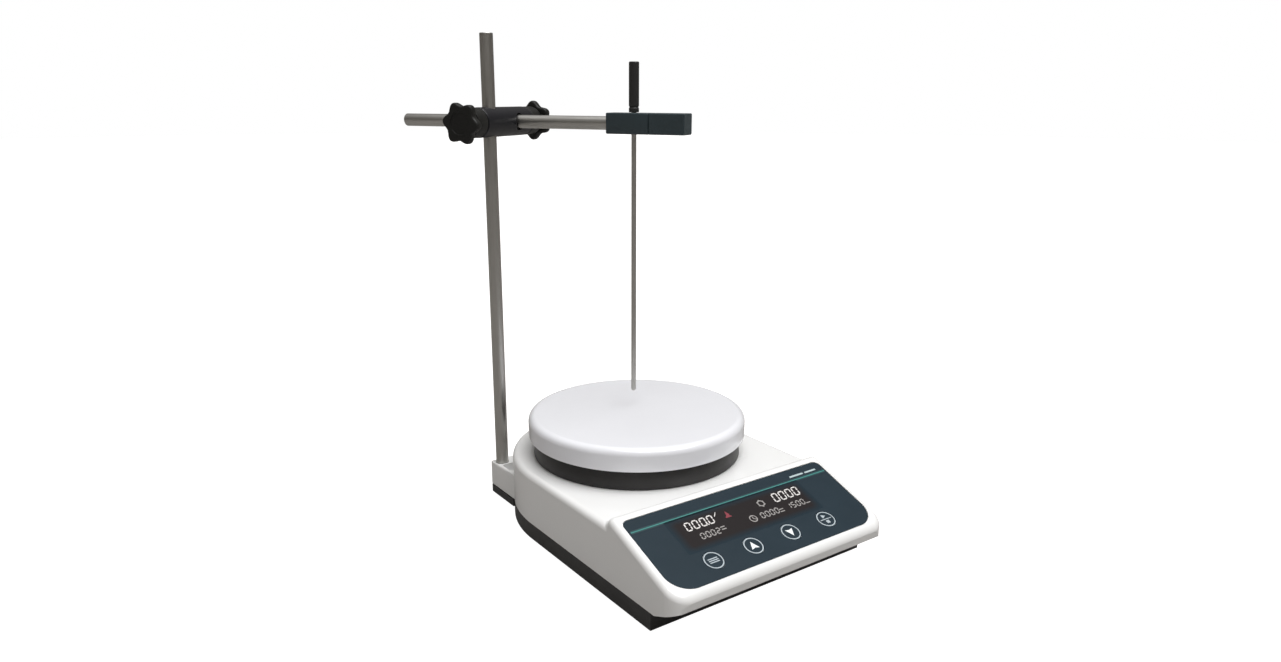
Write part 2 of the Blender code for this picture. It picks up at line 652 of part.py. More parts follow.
def make_boards():
    control = block("control_board", span(0, 0.056), span(0, 0.02), (-0.0126, -0.011))
    new_object("control_board", control, BOARD, parent=PANEL_FRAME)
    x = (DISPLAY_X[0] + 0.0005, DISPLAY_X[1] - 0.0005)
    y = (DISPLAY_Y[0] + 0.0005, DISPLAY_Y[1] - 0.0005)
    display = block("display_module", x, y, (-0.0107, -0.0015))
    new_object("display_module", display, DARK_GLASS, parent=PANEL_FRAME)
    power = block("power_board", span(0, 0.046), (-0.076, -0.026), (0.009, 0.0106))
    new_object("power_board", power, BOARD, parent=ROOT)
    core = block("transformer", (-0.038, -0.008), (-0.07, -0.042), (0.0109, 0.034))
    soften(new_object("transformer", core, COPPER, parent=ROOT), 0.002)
    capacitor = cylinder("filter_capacitor", 0.007, 0.0109, 0.032, centre=(0.01, -0.056))
    new_object("filter_capacitor", capacitor, KNOB_PLASTIC, parent=ROOT)


# ---------------------------------------------------------------- sockets in the rear wall

def make_mains_inlet():
    x, z, face = INLET_X, SOCKETS_Z, REAR_FLAT_Y
    body = block("inlet_body", span(x, 0.0135), (0.054, face + 0.001), span(z, 0.0097))
    inlet = new_object("mains_inlet", body, KNOB_PLASTIC, parent=ROOT)
    flange = block("inlet_flange", (x - 0.015, x + 0.0155), (face + GAP, face + 0.0023), span(z, 0.012))
    join(inlet, flange, parent=ROOT)
    cut(inlet, block("inlet_mouth", span(x, 0.0115), (0.06, 0.09), span(z, 0.0077)), parent=ROOT)
    for name, dx, dz in (("live", -0.007, -0.002), ("earth", 0, 0.003), ("neutral", 0.007, -0.002)):
        blade = block(f"{name}_blade", span(x + dx, 0.001), (0.057, 0.07), span(z + dz, 0.002))
        join(inlet, blade, parent=ROOT)


def make_power_switch():
    x, z, face = SWITCH_X, SOCKETS_Z, REAR_FLAT_Y
    body = block("switch_body", span(x, 0.006), (0.062, face + 0.001), span(z, 0.009))
    frame = new_object("switch_frame", body, KNOB_PLASTIC, parent=ROOT)
    flange = block("switch_flange", span(x, 0.0075), (face + GAP, face + 0.0018), span(z, 0.011))
    join(frame, flange, parent=ROOT)
    cut(frame, block("switch_mouth", span(x, 0.0048), (0.066, 0.09), span(z, 0.0078)), parent=ROOT)
    # Seen from the side: a shallow vee, one half of which lies flush in each position.
    side = [
        (0.0042, -0.0069), (0.0024, 0), (0.0042, 0.0069), (-0.0015, 0.0062), (-0.0055, 0), (-0.0015, -0.0062),
    ]
    rocker = stood_up(outline_mesh("rocker", side, -0.0044, 0.0044))
    rocker.transform(Matrix.Rotation(-ROCKER_SWING / 2, 4, "X"))
    new_object("power_rocker", rocker, KNOB_PLASTIC, parent=ROCKER_AXIS)


def make_probe_socket():
    """A blind tube with a collar outside the wall. Its profile's height runs outwards from the wall."""
    bore, tube, collar = 0.0023, 0.0036, 0.005
    profile = [
        (bore, 0.002), (collar, 0.002), (collar, GAP), (tube, GAP),
        (tube, -0.012), (0, -0.012), (0, -0.01), (bore, -0.01),
    ]
    turned(
        "probe_socket", profile, BRASS, SMALL_ROUND, parent=ROOT,
        location=(SOCKET_X, REAR_FLAT_Y, SOCKETS_Z), rotation=(-math.pi / 2, 0, 0),
    )


# ---------------------------------------------------------------- rod, boss head, arm and probe

def rod_profile(radius, low, high, chamfer=0.0006):
    """A plain rod with a small chamfer at each end."""
    return [
        (0, high), (radius - chamfer, high), (radius, high - chamfer),
        (radius, low + chamfer), (radius - chamfer, low), (0, low),
    ]


def make_support_rod():
    """The rod stands in the lug, and a screw from under the pan holds its lower end."""
    screw = screw_profile(ROD_SCREW_RADIUS, 0.0045, 0.0052, 0.0032, 0.02)
    turned("rod_fixing_screw", screw, STEEL, SMALL_ROUND, parent=ROOT, location=(ROD_X, ROD_Y, 0))
    bore, bore_end = ROD_SCREW_RADIUS + GAP, 0.021
    solid = rod_profile(ROD_RADIUS, ROD_BOTTOM_Z, ROD_TOP_Z)[:-1]
    bored = solid + [(bore, ROD_BOTTOM_Z), (bore, bore_end), (0, bore_end)]
    turned("support_rod", bored, STEEL, SMALL_ROUND, parent=ROD_AXIS)


def make_boss():
    """A short bar across both rods, with a clamping knob screwed into each end."""
    bar = cylinder("boss_bar", BOSS_RADIUS, BOSS_REAR, BOSS_FRONT, axis="Y", sides=32)
    boss = soften(new_object("boss_head", bar, BLACK_ALLOY, parent=BOSS_FRAME), 0.0007)
    thread = STUD_RADIUS + GAP
    cut(
        boss,
        cylinder("boss_rod_hole", ROD_RADIUS + GAP, -0.012, 0.012),
        cylinder("boss_arm_hole", ROD_RADIUS + ARM_HOLE_CLEARANCE, -0.012, 0.012, axis="X", centre=(ARM_OFFSET, 0)),
        cylinder("boss_rear_thread", thread, BOSS_REAR - 0.002, 0, axis="Y"),
        cylinder("boss_front_thread", thread, ARM_OFFSET, BOSS_FRONT + 0.002, axis="Y"),
        parent=BOSS_FRAME,
    )
    make_knob("rod_clamp", BOSS_REAR, 0, turn=math.radians(-7))
    make_knob("arm_clamp", BOSS_FRONT, ARM_OFFSET, turn=math.pi / KNOB_LOBES)


def star_outline(turn, steps=8):
    """A star knob's outline: round lobes with hollows as wide as they are."""
    points = []
    for i in range(KNOB_LOBES * steps):
        angle = 2 * math.pi * i / (KNOB_LOBES * steps)
        hollow = (1 - math.cos(KNOB_LOBES * angle)) / 2
        radius = KNOB_RADIUS - (KNOB_RADIUS - KNOB_HOLLOW_RADIUS) * hollow
        points.append((radius * math.cos(angle + turn), radius * math.sin(angle + turn)))
    return points


def make_knob(name, boss_end, rod_place, turn):
    """A stud that presses on its rod, with a hub and a star knob on its outer end."""
    outwards = math.copysign(1, boss_end)
    axis = new_empty(
        f"{name}_axis", parent=BOSS_FRAME,
        location=(0, boss_end, 0), rotation=(-outwards * math.pi / 2, 0, 0),
    )
    tip = ROD_RADIUS + GAP - abs(boss_end - rod_place)
    stud = [(0, STUD_END), (STUD_RADIUS, STUD_END), (STUD_RADIUS, tip + 0.001), (0.002, tip), (0, tip)]
    turned(f"{name}_stud", stud, STEEL, SMALL_ROUND, parent=axis)
    star = outline_mesh(f"{name}_star", star_outline(turn), KNOB_BASE, KNOB_TOP)
    knob = new_object(f"{name}_knob", star, KNOB_PLASTIC, parent=axis)
    soften(knob, 0.0012, degrees=60)
    join(knob, cylinder(f"{name}_neck", NECK_RADIUS, NECK_START - 0.001, KNOB_BASE + 0.001), parent=axis)
    join(knob, cylinder(f"{name}_hub", HUB_RADIUS, 0.0005, NECK_START), parent=axis)
    cut(knob, cylinder(f"{name}_bore", STUD_RADIUS + GAP, -0.001, STUD_END + GAP), parent=axis)


def make_arm():
    arm = rod_profile(ROD_RADIUS, ARM_REAR, ARM_FRONT)
    turned("side_arm", arm, STEEL, SMALL_ROUND, parent=ARM_AXIS, rotation=(0, math.pi / 2, 0))


def make_holder():
    """A square block on the arm's end that grips the probe, and a cap on its far end."""
    across = span(0, HOLDER_SIDE / 2)
    body = block("holder", (HOLDER_START, HOLDER_SPLIT - GAP), across, across)
    holder = soften(new_object("probe_holder", body, HOLDER_PLASTIC, parent=ARM_AXIS), 0.0006)
    probe_hole = cylinder(
        "holder_probe_hole", PROBE_RADIUS + GAP, -0.009, 0.009, centre=(PROBE_ALONG, 0), sides=TINY_ROUND,
    )
    cut(
        holder,
        cylinder("holder_bore", ROD_RADIUS + GAP, HOLDER_START - 0.001, ARM_FRONT + GAP, axis="X"),
        probe_hole,
        parent=ARM_AXIS,
    )
    cap = block("end_cap", (HOLDER_SPLIT, HOLDER_END), across, across)
    soften(new_object("holder_end_cap", cap, HOLDER_PLASTIC, parent=ARM_AXIS), 0.0006)


def make_probe():
    """A thin steel tube with a round tip, and a plastic handle that rests on the holder."""
    seat, top, tip = HOLDER_SIDE / 2 + GAP, HANDLE_TOP_Z - ARM_Z, PROBE_TIP_Z - ARM_Z
    sleeve, sleeve_end = PROBE_RADIUS + GAP, top - HANDLE_CAP
    handle = rod_profile(HANDLE_RADIUS, seat, top, 0.0004)[:-2]
    handle += [(HANDLE_RADIUS, seat), (sleeve, seat), (sleeve, sleeve_end), (0, sleeve_end)]
    turned("probe_handle", handle, KNOB_PLASTIC, SMALL_ROUND, parent=PROBE_AXIS)
    round_tip = arc((0, tip + PROBE_RADIUS), PROBE_RADIUS, 0, -90, 3)
    shaft = [(0, sleeve_end - GAP), (PROBE_RADIUS, sleeve_end - GAP)] + round_tip[:-1] + [(0, tip)]
    turned("probe_shaft", shaft, STEEL, TINY_ROUND, parent=PROBE_AXIS)


# ---------------------------------------------------------------- the whole object

def centre_on_origin():
    """Moves the root so that the origin is the middle of the bounding box's underside."""
    bpy.context.view_layer.update()
    graph = bpy.context.evaluated_depsgraph_get()
    corners = []
    for obj in PARTS.objects:
        if obj.type != "EMPTY":
            evaluated = obj.evaluated_get(graph)
            corners += [evaluated.matrix_world @ vert.co for vert in evaluated.data.vertices]
    low = [min(corner[i] for corner in corners) for i in range(3)]
    high = [max(corner[i] for corner in corners) for i in range(3)]
    ROOT.location = (-(low[0] + high[0]) / 2, -(low[1] + high[1]) / 2, -low[2])


make_housing()
make_pan()
make_feet()
make_base_screws()
make_plate()
make_insulating_ring()
make_heater()
make_motor()
make_rotor()
make_overlay()
make_keys()
make_boards()
make_mains_inlet()
make_power_switch()
make_probe_socket()
make_support_rod()
make_boss()
make_arm()
make_holder()
make_probe()
centre_on_origin()
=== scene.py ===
"""The looks of a hot-plate magnetic stirrer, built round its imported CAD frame.

Metres, +Z up. Every outer piece is rebuilt here with finer shapes, at the place that the CAD nodes and
joints give. The sealed inner pieces keep their CAD shape and get a material.
"""

import json
import math

import bmesh
import bpy
from mathutils import Matrix, Vector


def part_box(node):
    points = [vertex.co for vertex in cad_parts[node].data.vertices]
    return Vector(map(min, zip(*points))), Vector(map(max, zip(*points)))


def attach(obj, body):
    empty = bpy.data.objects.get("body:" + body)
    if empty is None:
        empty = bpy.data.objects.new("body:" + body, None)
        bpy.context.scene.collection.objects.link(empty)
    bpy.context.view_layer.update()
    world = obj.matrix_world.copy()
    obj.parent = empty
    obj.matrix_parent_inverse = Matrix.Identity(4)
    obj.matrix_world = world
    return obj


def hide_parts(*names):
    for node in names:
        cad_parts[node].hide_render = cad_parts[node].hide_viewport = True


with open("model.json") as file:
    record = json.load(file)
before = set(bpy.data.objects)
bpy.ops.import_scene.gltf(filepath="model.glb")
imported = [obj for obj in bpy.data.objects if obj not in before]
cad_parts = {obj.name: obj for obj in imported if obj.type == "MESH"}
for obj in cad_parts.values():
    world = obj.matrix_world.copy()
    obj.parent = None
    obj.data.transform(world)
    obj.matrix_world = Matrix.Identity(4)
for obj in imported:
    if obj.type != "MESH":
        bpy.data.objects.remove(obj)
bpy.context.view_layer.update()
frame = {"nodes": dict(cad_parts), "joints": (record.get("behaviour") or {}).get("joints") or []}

JOINTS = {joint["name"]: joint for joint in frame["joints"]}


# ---- frames, from the CAD

def box_centre(node):
    low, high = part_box(node)
    return (low + high) / 2


def box_size(node):
    low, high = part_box(node)
    return high - low


def axes(x, y, z, origin):
    """A frame with these three axes at this origin."""
    matrix = Matrix((x, y, z)).transposed().to_4x4()
    matrix.translation = origin
    return matrix


def shift(x=0.0, y=0.0, z=0.0):
    return Matrix.Translation((x, y, z))


def turn(degrees, axis):
    return Matrix.Rotation(math.radians(degrees), 4, axis)


PLATE_AXIS = box_centre("hot_plate")
PLATE_AXIS.z = 0.0
HOME = Matrix.Translation(PLATE_AXIS)  # the plate's axis on the floor: all lengths below start there

X_AXIS = Vector((1, 0, 0))
Z_AXIS = Vector((0, 0, 1))
PANEL_NORMAL = -Vector(JOINTS["run_key_press"]["axis"]).normalized()
PANEL_UP = PANEL_NORMAL.cross(X_AXIS)
OVERLAY_THICKNESS = 0.0009
PANEL = axes(  # X right, Y up the panel, Z out of it, level with the bezel
    X_AXIS, PANEL_UP, PANEL_NORMAL, box_centre("panel_overlay") + PANEL_NORMAL * OVERLAY_THICKNESS / 2,
)

ROD = Matrix.Translation(Vector(JOINTS["rod_swivel"]["pos_m"]))
ARM_DIRECTION = Vector(JOINTS["arm_reach"]["axis"]).normalized()
BOSS_DIRECTION = Z_AXIS.cross(ARM_DIRECTION)
ARM_CENTRE = box_centre("side_arm")
ROD_POINT = Vector((*ROD.translation.xy, ARM_CENTRE.z))
BOSS = axes(ARM_DIRECTION, BOSS_DIRECTION, Z_AXIS, ROD_POINT)  # X along the arm, Y along the boss
ARM_OFFSET = (ARM_CENTRE - ROD_POINT).dot(BOSS_DIRECTION)
ARM = BOSS @ shift(y=ARM_OFFSET)
PROBE_CENTRE = box_centre("probe_shaft")
PROBE_ALONG = (PROBE_CENTRE - ARM.translation).dot(ARM_DIRECTION)
PROBE = Matrix.Translation((PROBE_CENTRE.x, PROBE_CENTRE.y, 0.0))


def knob_frame(joint):
    """Z runs outwards along the stud, from the boss's end."""
    outwards = Vector(JOINTS[joint]["axis"]).normalized()
    return axes(Z_AXIS.cross(outwards), Z_AXIS, outwards, Vector(JOINTS[joint]["pos_m"]))


# ---- dimensions

PLATE_RADIUS = box_size("hot_plate").x / 2
PLATE_LOW_Z, PLATE_TOP_Z = (corner.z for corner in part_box("hot_plate"))
RING_LOW_Z, RING_TOP_Z = (corner.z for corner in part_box("insulating_ring"))
HALF_WIDTH = box_size("bottom_pan").x / 2
FOOT_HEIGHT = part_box("bottom_pan")[0].z
HOUSING_TOP_Z = 0.0437
PARTING_Z = 0.0124
REAR_CENTRE_Y, REAR_DEPTH, REAR_FLAT_Y = 0.002, 0.0805, 0.076
PAN_FRONT_Y = -0.1187
NOSE_CORNER_RADIUS = 0.010
NOSE_RADIUS = 0.0055
STEP_REAR_Y, STEP_FRONT_Y = -0.0775, -0.0805
PANEL_REAR_Y, PANEL_REAR_Z = -0.0861, 0.0473
PANEL_LENGTH, PANEL_HALF_WIDTH = 0.0523, 0.0714
REAR_CORNER_RADIUS, FRONT_CORNER_RADIUS = 0.004, 0.013  # of the film
LIP_Y, LIP_Z, UNDERCUT_Y = -0.1374, 0.0191, -0.1215
HOUSING_WALL, PAN_WALL = 0.0025, 0.002
EDGE_ROUNDING = 0.0036
GAP = 0.0003
LUG_X, LUG_REAR_Y, LUG_TOP_Z, LUG_FOOT_Z = (-0.0634, -0.042), 0.079, 0.024, 0.0074
ROD_X, ROD_Y = ROD.translation.x - PLATE_AXIS.x, ROD.translation.y - PLATE_AXIS.y
ROD_RADIUS = box_size("support_rod").x / 2
SCREW_PLACES = [(-0.062, -0.096), (0.062, -0.096), (-0.054, 0.036), (0.054, 0.036)]
FOOT_PLACES = [(-0.058, -0.078), (0.058, -0.078), (-0.038, 0.043), (0.038, 0.043)]
SCREW_RADIUS, ROD_SCREW_RADIUS = 0.0016, 0.0025
SOCKETS_Z, INLET_X, SWITCH_X, SOCKET_X = 0.028, 0.013, -0.0115, -0.0243
BOSS_RADIUS, BOSS_REAR, BOSS_FRONT = 0.0089, -0.0135, 0.037
ARM_HOLE_CLEARANCE = 0.0012
ROD_FIT, STUD_FIT, PROBE_FIT, HOLDER_FIT = 0.00025, 0.0001, 0.0002, 0.0002  # gaps around what slides
ARM_REAR, ARM_FRONT = -0.0787, 0.0815
STUD_RADIUS, STUD_TIP_RADIUS, STUD_END = 0.003, 0.0021, 0.015
THREAD_PITCH, THREAD_DEPTH, THREAD_CHAMFER = 0.00125, 0.00035, 0.001
KNOB_BASE, KNOB_TOP, KNOB_LOBES = 0.0125, 0.0175, 6
KNOB_RADIUS, KNOB_HOLLOW_RADIUS = 0.0124, 0.0099
HUB_RADIUS, NECK_RADIUS, NECK_START = 0.0088, 0.0078, 0.0105
HOLDER_START, HOLDER_SPLIT, HOLDER_END, HOLDER_SIDE = 0.0705, 0.0978, 0.1204, 0.0122
PROBE_RADIUS, HANDLE_RADIUS = 0.0015, 0.003
KEY_RADIUS, KEY_STEM_RADIUS, KEY_V = 0.0058, 0.0022, 40.7
KEY_U = {name: 0.5 + 27.05 * (i - 1.5) for i, name in enumerate(("menu", "up", "down", "run"))}
OVERLAY_TOP = -0.0002  # the film lies a little below the bezel
PRINT_STEP = 0.00003  # height of each printed layer over the one below


# ---- materials

def srgb(red, green, blue):
    """A linear colour from display values of 0 to 255."""
    def linear(value):
        value /= 255
        return value / 12.92 if value <= 0.04045 else ((value + 0.055) / 1.055) ** 2.4
    return linear(red), linear(green), linear(blue)


def fill_ramp(node, stops):
    """Each stop is a place on the ramp and a colour."""
    elements = node.color_ramp.elements
    while len(elements) < len(stops):
        elements.new(0.5)
    for element, (place, colour) in zip(elements, stops):
        element.position = place
        element.color = (*colour, 1.0)


class Look:
    """One material, with short calls for its nodes."""

    def __init__(self, name, **constants):
        self.material = bpy.data.materials.new(name)
        self.material.use_nodes = True
        self.tree = self.material.node_tree
        self.shader = self.tree.nodes["Principled BSDF"]
        for socket, value in constants.items():
            self.set(socket.replace("_", " "), value)
        self.place = self.node("TexCoord").outputs["Object"]

    def set(self, socket, value):
        self.put(self.shader.inputs[socket], value)

    def put(self, socket, value):
        if isinstance(value, bpy.types.NodeSocket):
            self.tree.links.new(value, socket)
        elif isinstance(value, tuple) and len(value) == 3 and socket.type == "RGBA":
            socket.default_value = (*value, 1.0)
        else:
            socket.default_value = value

    def node(self, kind, inputs=None, **settings):
        node = self.tree.nodes.new(f"ShaderNode{kind}")
        for name, value in settings.items():
            setattr(node, name, value)
        for name, value in (inputs or {}).items():
            self.put(node.inputs[name], value)
        return node

    def scaled(self, scale):
        return self.node("Mapping", {"Vector": self.place, "Scale": scale}).outputs[0]

    def noise(self, scale, detail=3.0, roughness=0.55, vector=None):
        inputs = {"Vector": vector or self.place, "Scale": scale, "Detail": detail, "Roughness": roughness}
        return self.node("TexNoise", inputs).outputs["Fac"]

    def ramp(self, factor, *stops):
        ramp = self.node("ValToRGB", {"Fac": factor})
        fill_ramp(ramp, stops)
        return ramp.outputs["Color"]

    def colour(self, factor, *stops):
        self.set("Base Color", self.ramp(factor, *stops))

    def spread(self, factor, low, high, start=0.3, end=0.7):
        """Maps a factor's middle range onto low to high."""
        inputs = {"Value": factor, "From Min": start, "From Max": end, "To Min": low, "To Max": high}
        return self.node("MapRange", inputs).outputs["Result"]

    def math(self, operation, first, second=0.0):
        node = self.node("Math", operation=operation)
        self.put(node.inputs[0], first)
        self.put(node.inputs[1], second)
        return node.outputs[0]

    def coordinate(self, axis):
        return self.node("SeparateXYZ", {"Vector": self.place}).outputs[axis]

    def bump(self, height, distance, strength=1.0):
        inputs = {"Height": height, "Distance": distance, "Strength": strength}
        self.set("Normal", self.node("Bump", inputs).outputs["Normal"])

    def varied(self, colour, amount, scale, vector=None):
        """The colour, a little darker and lighter from place to place."""
        low = tuple(channel * (1 - amount) for channel in colour)
        high = tuple(channel * (1 + amount) for channel in colour)
        self.colour(self.noise(scale, vector=vector), (0.3, low), (0.7, high))


def plastic(name, colour, roughness, grain, depth, variation=0.05, spread=0.05, **constants):
    """Moulded plastic: faint cloudiness, a roughness that varies, and a fine grain."""
    look = Look(name, **constants)
    look.varied(colour, variation, 35.0)
    look.set("Roughness", look.spread(look.noise(90.0), roughness - spread, roughness + spread))
    look.bump(look.noise(grain, detail=4.0), depth)
    return look.material


def brushed_metal(name, colour, roughness, along=(1.0, 1.0, 0.012), scale=2600.0, depth=0.00001):
    """Metal drawn along one axis: long fine lines in colour, roughness and height."""
    look = Look(name, Metallic=1.0)
    lines = look.noise(scale, detail=3.0, vector=look.scaled(along))
    cloud = look.noise(30.0)
    dark = tuple(0.84 * channel for channel in colour)
    mixed = look.math("ADD", look.math("MULTIPLY", lines, 0.6), look.math("MULTIPLY", cloud, 0.4))
    look.colour(mixed, (0.35, dark), (0.65, colour))
    look.set("Roughness", look.spread(lines, roughness - 0.06, roughness + 0.08))
    look.bump(lines, depth, 0.35)
    return look.material


def make_housing_white():
    look = Look("housing_white", Coat_Weight=0.5, Coat_Roughness=0.08, Specular_IOR_Level=0.5)
    look.varied((0.79, 0.79, 0.785), 0.012, 14.0)
    look.set("Roughness", look.spread(look.noise(60.0), 0.29, 0.36))
    look.bump(look.noise(150.0, detail=1.0), 0.00001, 0.4)
    return look.material


def make_plate_glaze():
    """White glazed ceramic coat with a faint lavender cast and tiny specks."""
    look = Look("white_plate_glaze", Coat_Weight=0.6, Coat_Roughness=0.05)
    specks = look.noise(1500.0, detail=2.0)
    cloud = look.noise(18.0)
    glaze = look.ramp(cloud, (0.3, (0.765, 0.77, 0.805)), (0.7, (0.785, 0.79, 0.825)))
    mix = look.node("Mix", {"Factor": look.spread(specks, 0.0, 0.35, 0.66, 0.76)}, data_type="RGBA")
    look.put(mix.inputs["A"], glaze)
    look.put(mix.inputs["B"], (0.62, 0.62, 0.63))
    look.set("Base Color", mix.outputs["Result"])
    look.set("Roughness", look.spread(look.noise(45.0), 0.16, 0.24))
    look.bump(look.noise(240.0, detail=3.0), 0.00002, 0.5)
    return look.material


FILM_COLOUR = (0.008, 0.020, 0.030)
WINDOW_HALVES = (0.0485, 0.0122)  # half width and half height of the smoked window


def make_film():
    """The slate overlay film: fine matt grain under a soft sheen."""
    look = Look("slate_overlay_film", Specular_IOR_Level=0.25)
    look.varied(FILM_COLOUR, 0.06, 30.0)
    look.set("Roughness", look.spread(look.noise(120.0), 0.38, 0.46))
    look.bump(look.noise(2200.0, detail=3.0), 0.00001)
    return look.material


def make_display_window():
    """A smoked window printed into the film, which fades out towards its edges."""
    look = Look("smoked_window", Specular_IOR_Level=0.2, Roughness=0.36)
    fades = []
    for axis, half, soft in (("X", WINDOW_HALVES[0], 0.006), ("Y", WINDOW_HALVES[1], 0.0045)):
        distance = look.math("ABSOLUTE", look.coordinate(axis))
        fades.append(look.spread(distance, 1.0, 0.0, half - soft, half))
    inside = look.math("MULTIPLY", *fades)
    grain = look.math("MULTIPLY", look.noise(1800.0), 0.12)
    shade = look.math("SUBTRACT", inside, grain)
    look.colour(shade, (0.0, FILM_COLOUR), (0.85, (0.013, 0.010, 0.0105)))
    return look.material


def make_accent():
    """The teal line, bright along its middle and dark along its edges."""
    look = Look("teal_accent", Roughness=0.35)
    distance = look.math("ABSOLUTE", look.coordinate("Y"))
    flicker = look.math("MULTIPLY", look.noise(500.0), 0.0002)
    across = look.math("DIVIDE", look.math("ADD", distance, flicker), 0.0013)
    dark, bright = (0.008, 0.070, 0.070), (0.05, 0.235, 0.215)
    look.colour(across, (0.16, bright), (0.36, dark), (0.98, FILM_COLOUR))
    return look.material


def printed(name, colour, glow=0.0):
    """Ink on the film, or a lit display segment when it has a glow."""
    look = Look(name, Roughness=0.45, Emission_Strength=glow)
    look.varied(colour, 0.06, 900.0)
    if glow:
        look.set("Emission Color", colour)
    look.bump(look.noise(3000.0), 0.000004)
    return look.material


def make_board():
    """Green lacquer over copper tracks."""
    look = Look("green_circuit_board", Roughness=0.4, Coat_Weight=0.3)
    tracks = look.node("TexBrick", {
        "Vector": look.place, "Scale": 160.0, "Mortar Size": 0.06, "Color1": (0.02, 0.12, 0.05, 1),
        "Color2": (0.025, 0.15, 0.06, 1), "Mortar": (0.09, 0.26, 0.10, 1),
    })
    look.set("Base Color", tracks.outputs["Color"])
    look.bump(tracks.outputs["Fac"], 0.00004, 0.5)
    return look.material


def make_windings(name, colour, pitch):
    """Wire wound round and round, in fine bands."""
    look = Look(name, Metallic=0.8, Roughness=0.35)
    waves = look.node("TexWave", {"Vector": look.place, "Scale": pitch, "Distortion": 0.4, "Detail": 1.0})
    waves.bands_direction = "Z"
    dark = tuple(0.45 * channel for channel in colour)
    look.colour(waves.outputs["Fac"], (0.2, dark), (0.8, colour))
    look.bump(waves.outputs["Fac"], 0.0002, 0.7)
    return look.material


def make_fibre():
    look = Look("insulation_fibre", Roughness=0.95, Sheen_Weight=0.3)
    fibres = look.noise(420.0, detail=6.0, vector=look.scaled((1.0, 0.25, 1.0)))
    look.colour(fibres, (0.35, (0.42, 0.40, 0.34)), (0.65, (0.66, 0.63, 0.56)))
    look.bump(fibres, 0.0003, 0.8)
    return look.material


WHITE = make_housing_white()
GLAZE = make_plate_glaze()
CHARCOAL = plastic("charcoal_plastic", (0.021, 0.021, 0.021), 0.46, 1300.0, 0.00005, 0.08)
RING = plastic("dark_ring_plastic", (0.012, 0.011, 0.0107), 0.42, 1100.0, 0.00004, 0.08)
SWITCH_BLACK = plastic("black_socket_plastic", (0.014, 0.014, 0.014), 0.35, 900.0, 0.00002)
KNOB_BLACK = plastic(
    "black_knob_plastic", (0.013, 0.013, 0.012), 0.45, 1100.0, 0.00005, 0.12, Specular_IOR_Level=0.22,
)
BOSS_BLACK = plastic(
    "black_coated_alloy", (0.007, 0.007, 0.010), 0.42, 1600.0, 0.00004, 0.1, Specular_IOR_Level=0.33,
)
HOLDER_SLATE = plastic("slate_holder_plastic", (0.026, 0.042, 0.050), 0.42, 1000.0, 0.00005, 0.1)
HANDLE_BLACK = plastic("black_handle_plastic", (0.018, 0.018, 0.018), 0.40, 1200.0, 0.00003)
RUBBER = plastic("black_rubber", (0.022, 0.022, 0.022), 0.80, 700.0, 0.00008, 0.15)
STEEL = brushed_metal("satin_steel", (0.50, 0.49, 0.465), 0.36)
SCREW_STEEL = brushed_metal("zinc_steel", (0.50, 0.50, 0.48), 0.34, along=(1.0, 1.0, 1.0), scale=900.0)
PIN_METAL = brushed_metal("nickel_pins", (0.62, 0.60, 0.56), 0.22, along=(1.0, 0.02, 1.0))
MAGNET = brushed_metal("nickel_magnet", (0.60, 0.58, 0.55), 0.25, along=(1.0, 1.0, 1.0), scale=500.0)
BRASS = brushed_metal("turned_brass", (0.72, 0.54, 0.26), 0.28, along=(0.02, 0.02, 1.0))
PRESSED_STEEL = brushed_metal("pressed_steel", (0.45, 0.45, 0.44), 0.36, along=(0.02, 1.0, 1.0))
FILM = make_film()
WINDOW = make_display_window()
ACCENT = make_accent()
KEY_PRINT = printed("key_print", srgb(168, 178, 184))
ARROW_PRINT = printed("arrow_print", srgb(225, 230, 232))
MARK_PRINT = printed("mark_print", srgb(170, 186, 188))
DIGITS = printed("lit_digits", srgb(190, 187, 185), glow=0.30)
SMALL_DIGITS = printed("lit_small_digits", srgb(140, 137, 135), glow=0.16)
HEAT_ICON = printed("lit_heat_icon", srgb(120, 40, 52), glow=0.12)
BOARD = make_board()
COPPER = make_windings("copper_winding", (0.62, 0.31, 0.17), 320.0)
HEATER_COIL = make_windings("heater_coil", (0.50, 0.36, 0.26), 120.0)
FIBRE = make_fibre()
GLASS = plastic("display_glass", (0.016, 0.014, 0.014), 0.12, 300.0, 0.000005, Coat_Weight=0.5)


# ---- mesh helpers

def new_object(name, bm, material, place=HOME):
    """An object at that frame."""
    bmesh.ops.recalc_face_normals(bm, faces=bm.faces)
    mesh = bpy.data.meshes.new(name)
    bm.to_mesh(mesh)
    bm.free()
    mesh.materials.append(material)
    obj = bpy.data.objects.new(name, mesh)
    bpy.context.scene.collection.objects.link(obj)
    obj.matrix_world = place
    return obj


def add_band(bm, first, second):
    """Faces between two rings of points. A ring of one point is a tip."""
    sides = max(len(first), len(second))
    for i in range(sides):
        j = (i + 1) % sides
        corners = [first[0]] if len(first) == 1 else [first[i], first[j]]
        corners += [second[0]] if len(second) == 1 else [second[j], second[i]]
        if len(corners) > 2:
            bm.faces.new(corners)


def add_prism(bm, points, low, high):
    """An outline in XY, extruded from low to high in Z."""
    bottom = [bm.verts.new((x, y, low)) for x, y in points]
    top = [bm.verts.new((x, y, high)) for x, y in points]
    bm.faces.new(reversed(bottom))
    bm.faces.new(top)
    add_band(bm, bottom, top)


def add_turned(bm, profile, sides, middle=(0.0, 0.0)):
    """A solid of revolution about Z. A profile that doesn't start on the axis closes on itself."""
    rings = []
    for radius, z in profile:
        around = circle(radius, sides, middle) if radius >= 1e-7 else [middle]
        rings.append([bm.verts.new((x, y, z)) for x, y in around])
    if len(rings[0]) > 1:
        rings.append(rings[0])
    for first, second in zip(rings, rings[1:]):
        add_band(bm, first, second)


